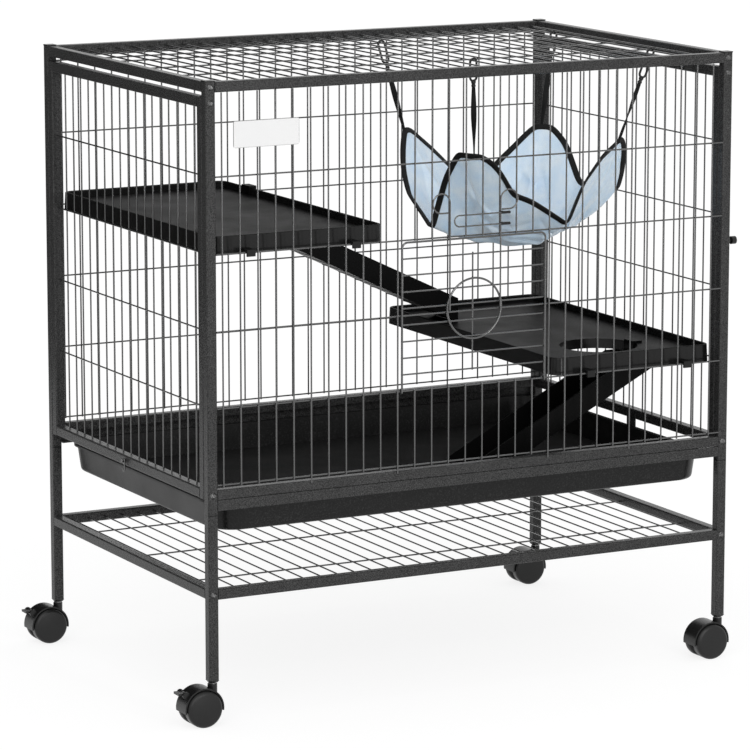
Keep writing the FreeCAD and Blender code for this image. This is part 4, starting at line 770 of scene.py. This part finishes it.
rough = ranged(woven, weave, given.outputs["Smooth"], given.outputs["Rough"])
bump = node(woven, "Bump", [("Height", weave), ("Strength", given.outputs["Depth"])], Distance=THREAD_DEEP)
woven.links.new(dyed, result.inputs["Colour"])
woven.links.new(rough, result.inputs["Roughness"])
woven.links.new(bump.outputs[0], result.inputs["Normal"])

# %% [markdown]
# Satin is woven so that most threads lie on its face, which gives it a soft shine, and it is thin enough
# for light to spread inside it. Subsurface scattering stands for that light, and sheen for the loose
# fibres at its edges. The tape and the webbing are black and matt.

# %% Satin and tape
CLOTH_DARK = (0.52, 0.69, 0.94, 1)
CLOTH_LIGHT = (0.76, 0.86, 0.98, 1)
SCATTER = 0.7
SCATTER_DEEP = 0.004
SHEEN = 0.35
SHEEN_ROUGH = 0.4

satin = finish("pale blue satin", woven, CLOTH_DARK, CLOTH_LIGHT, specular=0.9, Threads=1100.0, Depth=0.2,
               Smooth=0.2, Rough=0.34)
satin_shader = satin.node_tree.nodes["Principled BSDF"]
satin_shader.inputs["Subsurface Weight"].default_value = SCATTER
satin_shader.inputs["Subsurface Radius"].default_value = (1, 1, 1)
satin_shader.inputs["Subsurface Scale"].default_value = SCATTER_DEEP
satin_shader.inputs["Sheen Weight"].default_value = SHEEN
satin_shader.inputs["Sheen Roughness"].default_value = SHEEN_ROUGH
tape = finish("black tape", woven, grey(10), grey(22), specular=0.2, Threads=700.0, Depth=0.5, Smooth=0.55,
              Rough=0.75)

# %% [markdown]
# The grid of the cloth is one thin sheet. A Solidify modifier gives it the thickness of two layers of
# satin, half to each side, which is simpler than a second sheet and a row of faces round the edge.

# %% Hammock cloth
CLOTH_THICK = 0.0014

cloth_part = (cloth_grid.reshape(-1, 3), grid_faces(STEPS, STEPS), [], cloth_uv.reshape(-1, 2))
hammock = make_piece("hammock_satin", [cloth_part], satin, "frame")
wall = hammock.modifiers.new("cloth thickness", "SOLIDIFY")
wall.thickness = CLOTH_THICK
wall.offset = 0
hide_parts("hammock_cloth")

# %% [markdown]
# A tape folded over the raw edge binds the cloth. Its section, a flat loop with round ends, is carried
# along the rim. At each point of the rim, one direction runs into the cloth along its surface and the
# other is the cloth's normal, so the tape leans and turns with the cloth.

# %% Bound edge
TAPE_IN = 0.0075
TAPE_OUT = 0.0012
TAPE_THICK = 0.0034
RIM_STEPS = 96
IN_SHARE = 0.96


def flat_loop(wide, thick, count=16):
    """Closed section of a tape: a rectangle with half round ends, as (across, through) pairs."""
    angle = np.linspace(0, 2 * np.pi, count, endpoint=False)
    across = np.sign(np.cos(angle)) * (wide - thick) / 2 + np.cos(angle) * thick / 2
    return np.stack([across, np.sin(angle) * thick / 2], axis=-1)


walk = np.linspace(-1, 1, RIM_STEPS, endpoint=False)
one = np.ones(RIM_STEPS)
rim_s = np.concatenate([walk, one, -walk, -one])
rim_t = np.concatenate([-one, walk, one, -walk])
rim = hammock_points(rim_s, rim_t)
ahead = unit(np.roll(rim, -1, axis=0) - np.roll(rim, 1, axis=0))
inward = hammock_points(rim_s * IN_SHARE, rim_t * IN_SHARE) - rim
inward = unit(inward - ahead * (inward * ahead).sum(axis=-1, keepdims=True))
through = np.cross(ahead, inward)
section = flat_loop(TAPE_IN + TAPE_OUT, TAPE_THICK)
offset = section[:, 0] + (TAPE_IN - TAPE_OUT) / 2
tape_grid = rim[:, None] + inward[:, None] * offset[None, :, None] + through[:, None] * section[None, :, 1:]
tape_part = tube_part(tape_grid, closed_rows=True)
binding = make_piece("hammock_edge_tape", [tape_part], tape, "frame")
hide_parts("hammock_binding")

# %% [markdown]
# Each corner hangs from the top mesh by a snap hook and a strap of webbing, which pull into one straight
# line. So every corner starts with the same facts: where its hook sits on the mesh, where the top of its
# lobe is, and the direction between them.

# %% Hanging lines
MESH_WIRE = 0.0022
MESH_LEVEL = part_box("top_mesh")[1].z - MESH_WIRE / 2
# between the wires that the hooks sit on, along X and Y
HOOK_SPAN = Vector((0.28307, 0.27))
# signs of X and Y, angle of the lobe's top in degrees, strap's twist in quarter turns, length of the link
CORNERS = (((1, 1), 46, 0.8, 0.022), ((-1, 1), 133, 0.9, 0.022), ((-1, -1), 222, 1.3, 0.022),
           ((1, -1), 309, -1.1, 0.032))


def hanging_line(sx, sy, lobe):
    """Hook point on the mesh, top of the lobe, and three unit vectors: down the line and two across it."""
    top = np.array([hammock_middle[0] + HOOK_SPAN.x / 2 * sx, HOOK_SPAN.y / 2 * sy, MESH_LEVEL])
    lobe_way = np.array([math.cos(math.radians(lobe)), math.sin(math.radians(lobe))])
    lobe_way = lobe_way / np.abs(lobe_way).max()
    tip = hammock_points(lobe_way[:1], lobe_way[1:])[0]
    down = unit(tip - top)
    across = unit(np.cross(down, np.array([0.0, 1.0, 0.0])))
    return top, tip, down, across, np.cross(down, across)


lines = [hanging_line(*signs, lobe) for signs, lobe, _, _ in CORNERS]
print("hooks to lobes", [round(float(np.linalg.norm(tip - top)), 3) for top, tip, _, _, _ in lines], "m")

# %% [markdown]
# Wire and turned parts are two more kinds of grid. A wire is a circle carried along a closed path, always
# square to it. A turned part, such as a swivel or a wheel, is a profile of radius and way, turned about
# an axis. A curve with a bevel and a Screw modifier would give the same shapes, but grids join other
# parts in one mesh.

# %% Wire and turned shapes
def ring_line(path, radius, count=12):
    """Round tube of a radius along a closed flat path of points, as a grid of rings."""
    ahead = unit(np.roll(path, -1, axis=0) - np.roll(path, 1, axis=0))
    plane = unit(np.linalg.svd(path - path.mean(axis=0))[2][2])
    side = unit(np.cross(ahead, plane))
    angle = np.linspace(0, 2 * np.pi, count, endpoint=False)
    return (path[:, None] + side[:, None] * (np.cos(angle) * radius)[None, :, None]
            + plane[None, None] * (np.sin(angle) * radius)[None, :, None])


def turned_grid(profile, start, axis, across, count=20):
    """Profile of (radius, way) pairs turned about an axis that leaves a start point."""
    radius, way = np.array(profile).T
    other = np.cross(axis, across)
    angle = np.linspace(0, 2 * np.pi, count, endpoint=False)
    spoke = np.cos(angle)[:, None] * across + np.sin(angle)[:, None] * other
    return start + way[:, None, None] * axis + radius[:, None, None] * spoke[None]


# %% [markdown]
# A snap hook is a long link of round wire with a turned swivel below it. The link is two half circles
# joined by straight sides. It hangs on a wire of the mesh with a little play, and the swivel is sunk into
# its lower bend. In the picture the hooks are as dark as the trim, so they share its finish.

# %% Snap hooks
LINK_BEND = 0.0050
LINK_WIRE = 0.0032
LINK_PLAY = 0.0003
SWIVEL_SUNK = 0.0006
BEND_STEPS = 13
# radius and way down, in metres
SWIVEL_PROFILE = ((0.0, 0.0), (0.0030, 0.0004), (0.0034, 0.0018), (0.0031, 0.0042), (0.0022, 0.0052),
                  (0.0028, 0.0064), (0.0032, 0.0080), (0.0026, 0.0096), (0.0, 0.0100))


def link_path(down, across, link_long):
    """Path of a link: two half circles, a link's length apart."""
    half_turn = np.linspace(0, np.pi, BEND_STEPS)
    bend = np.stack([np.cos(half_turn), np.sin(half_turn)], axis=-1) * LINK_BEND
    return np.concatenate([
        across * bend[:, :1] - down * bend[:, 1:],
        -across * bend[:, :1] + down * (bend[:, 1:] + link_long),
    ])


hook_rise = MESH_WIRE / 2 + LINK_PLAY + LINK_WIRE / 2 - LINK_BEND
hook_parts = []
swivel_tops = []
for (top, _, down, across, _), (_, _, _, link_long) in zip(lines, CORNERS):
    link = top - down * hook_rise + link_path(down, across, link_long)
    swivel_top = top - down * hook_rise + down * (link_long + LINK_BEND - SWIVEL_SUNK)
    hook_parts.append(tube_part(ring_line(link, LINK_WIRE / 2), closed_rows=True))
    hook_parts.append(tube_part(turned_grid(SWIVEL_PROFILE, swivel_top, down, across)))
    swivel_tops.append(swivel_top)
hooks = make_piece("hammock_snap_hooks", hook_parts, trim_plastic, "frame", merge=WELD)
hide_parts("snap_hooks")

# %% [markdown]
# The straps are flat webbing, each with about a quarter turn of twist of its own. A flat loop is carried
# down the hanging line and turned on its way; a Simple Deform modifier would twist all four alike. Near
# both ends, where it is sewn, the strap gathers: it gets narrower and a little thicker.

# %% Straps
STRAP_WIDE = 0.008
STRAP_THICK = 0.0016
STRAP_STEPS = 48
SWIVEL_LONG = 0.010
STRAP_IN_SWIVEL = 0.001
STRAP_IN_TAPE = 0.006
GATHERED = 0.62
GATHER_REACH = 1.15
GATHER_POWER = 0.8
THICKER = 0.6


def strap_grid(start, long, down, across, other, twist):
    """Flat loop carried down a line: it turns by a smooth step and is narrow at its ends, wide between."""
    way = np.linspace(0, 1, STRAP_STEPS)
    turn = twist * np.pi / 2 * (3 * way ** 2 - 2 * way ** 3)
    wide_way = across[None] * np.cos(turn)[:, None] + other[None] * np.sin(turn)[:, None]
    thin_way = -across[None] * np.sin(turn)[:, None] + other[None] * np.cos(turn)[:, None]
    fullness = np.sin(np.pi * np.clip(way * GATHER_REACH, 0, 1)) ** GATHER_POWER
    wide = GATHERED + (1 - GATHERED) * fullness
    thick = 1 + THICKER - THICKER * wide
    section = flat_loop(STRAP_WIDE, STRAP_THICK)
    middle = start + down * (way * long)[:, None]
    return (middle[:, None] + wide_way[:, None] * (section[None, :, :1] * wide[:, None, None])
            + thin_way[:, None] * (section[None, :, 1:] * thick[:, None, None]))


strap_parts = []
strap_longs = []
for (_, tip, down, across, other), (_, _, twist, _), swivel_top in zip(lines, CORNERS, swivel_tops):
    start = swivel_top + down * (SWIVEL_LONG - STRAP_IN_SWIVEL)
    strap_long = np.linalg.norm(tip - start) + STRAP_IN_TAPE
    strap_parts.append(tube_part(strap_grid(start, strap_long, down, across, other, twist)))
    strap_longs.append(round(float(strap_long), 3))
straps = make_piece("hammock_webbing", strap_parts, tape, "frame")
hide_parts("hammock_straps")
print("straps", strap_longs, "m long")

# %% [markdown]
# A twin caster has two smooth wheels with a softly rounded edge and a slightly domed face. The CAD wheels
# have a straight bevel, so these take their place, with the radius and the width of the box around them.
# Each wheel is one profile turned about the axle.

# %% Wheels
WHEEL_EDGE = 0.0055
WHEEL_DOME = 0.0012
WHEEL_CHAMFER = 0.001
WHEEL_GAP_HALF = 0.0046
WHEEL_AROUND = 64
EDGE_STEPS = 9
FACE_STEPS = 7


def wheel_profile(radius, wide):
    """Profile of (radius, way) pairs from the inner face, over a round edge, to the domed outer face."""
    arc = np.linspace(0, np.pi / 2, EDGE_STEPS)
    flat = radius - WHEEL_EDGE
    edge_way = wide - WHEEL_EDGE - WHEEL_DOME + WHEEL_EDGE * np.sin(arc)
    edge = np.stack([flat + WHEEL_EDGE * np.cos(arc), edge_way], axis=-1)
    face_radius = np.linspace(flat, 0, FACE_STEPS)[1:]
    face = np.stack([face_radius, wide - WHEEL_DOME * (face_radius / flat) ** 2], axis=-1)
    inner = np.array([[0.0, 0.0], [radius - WHEEL_CHAMFER, 0.0], [radius, WHEEL_CHAMFER]])
    return np.concatenate([inner, edge, face])


for corner in ("front_left", "front_right", "back_left", "back_right"):
    low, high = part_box(corner + "_wheels")
    axle = np.array((low + high) / 2)
    profile = wheel_profile((high.z - low.z) / 2, (high.y - low.y) / 2 - WHEEL_GAP_HALF)
    wheel_parts = []
    for way in (-1.0, 1.0):
        out = np.array([0.0, way, 0.0])
        start = axle + out * WHEEL_GAP_HALF
        grid = turned_grid(profile, start, out, np.array([1.0, 0.0, 0.0]), WHEEL_AROUND)
        wheel_parts.append(tube_part(grid))
    wheel_pair = make_piece(corner + "_wheel_pair", wheel_parts, wheel_plastic, corner + "_wheel_set",
                            merge=WELD)
    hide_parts(corner + "_wheels")
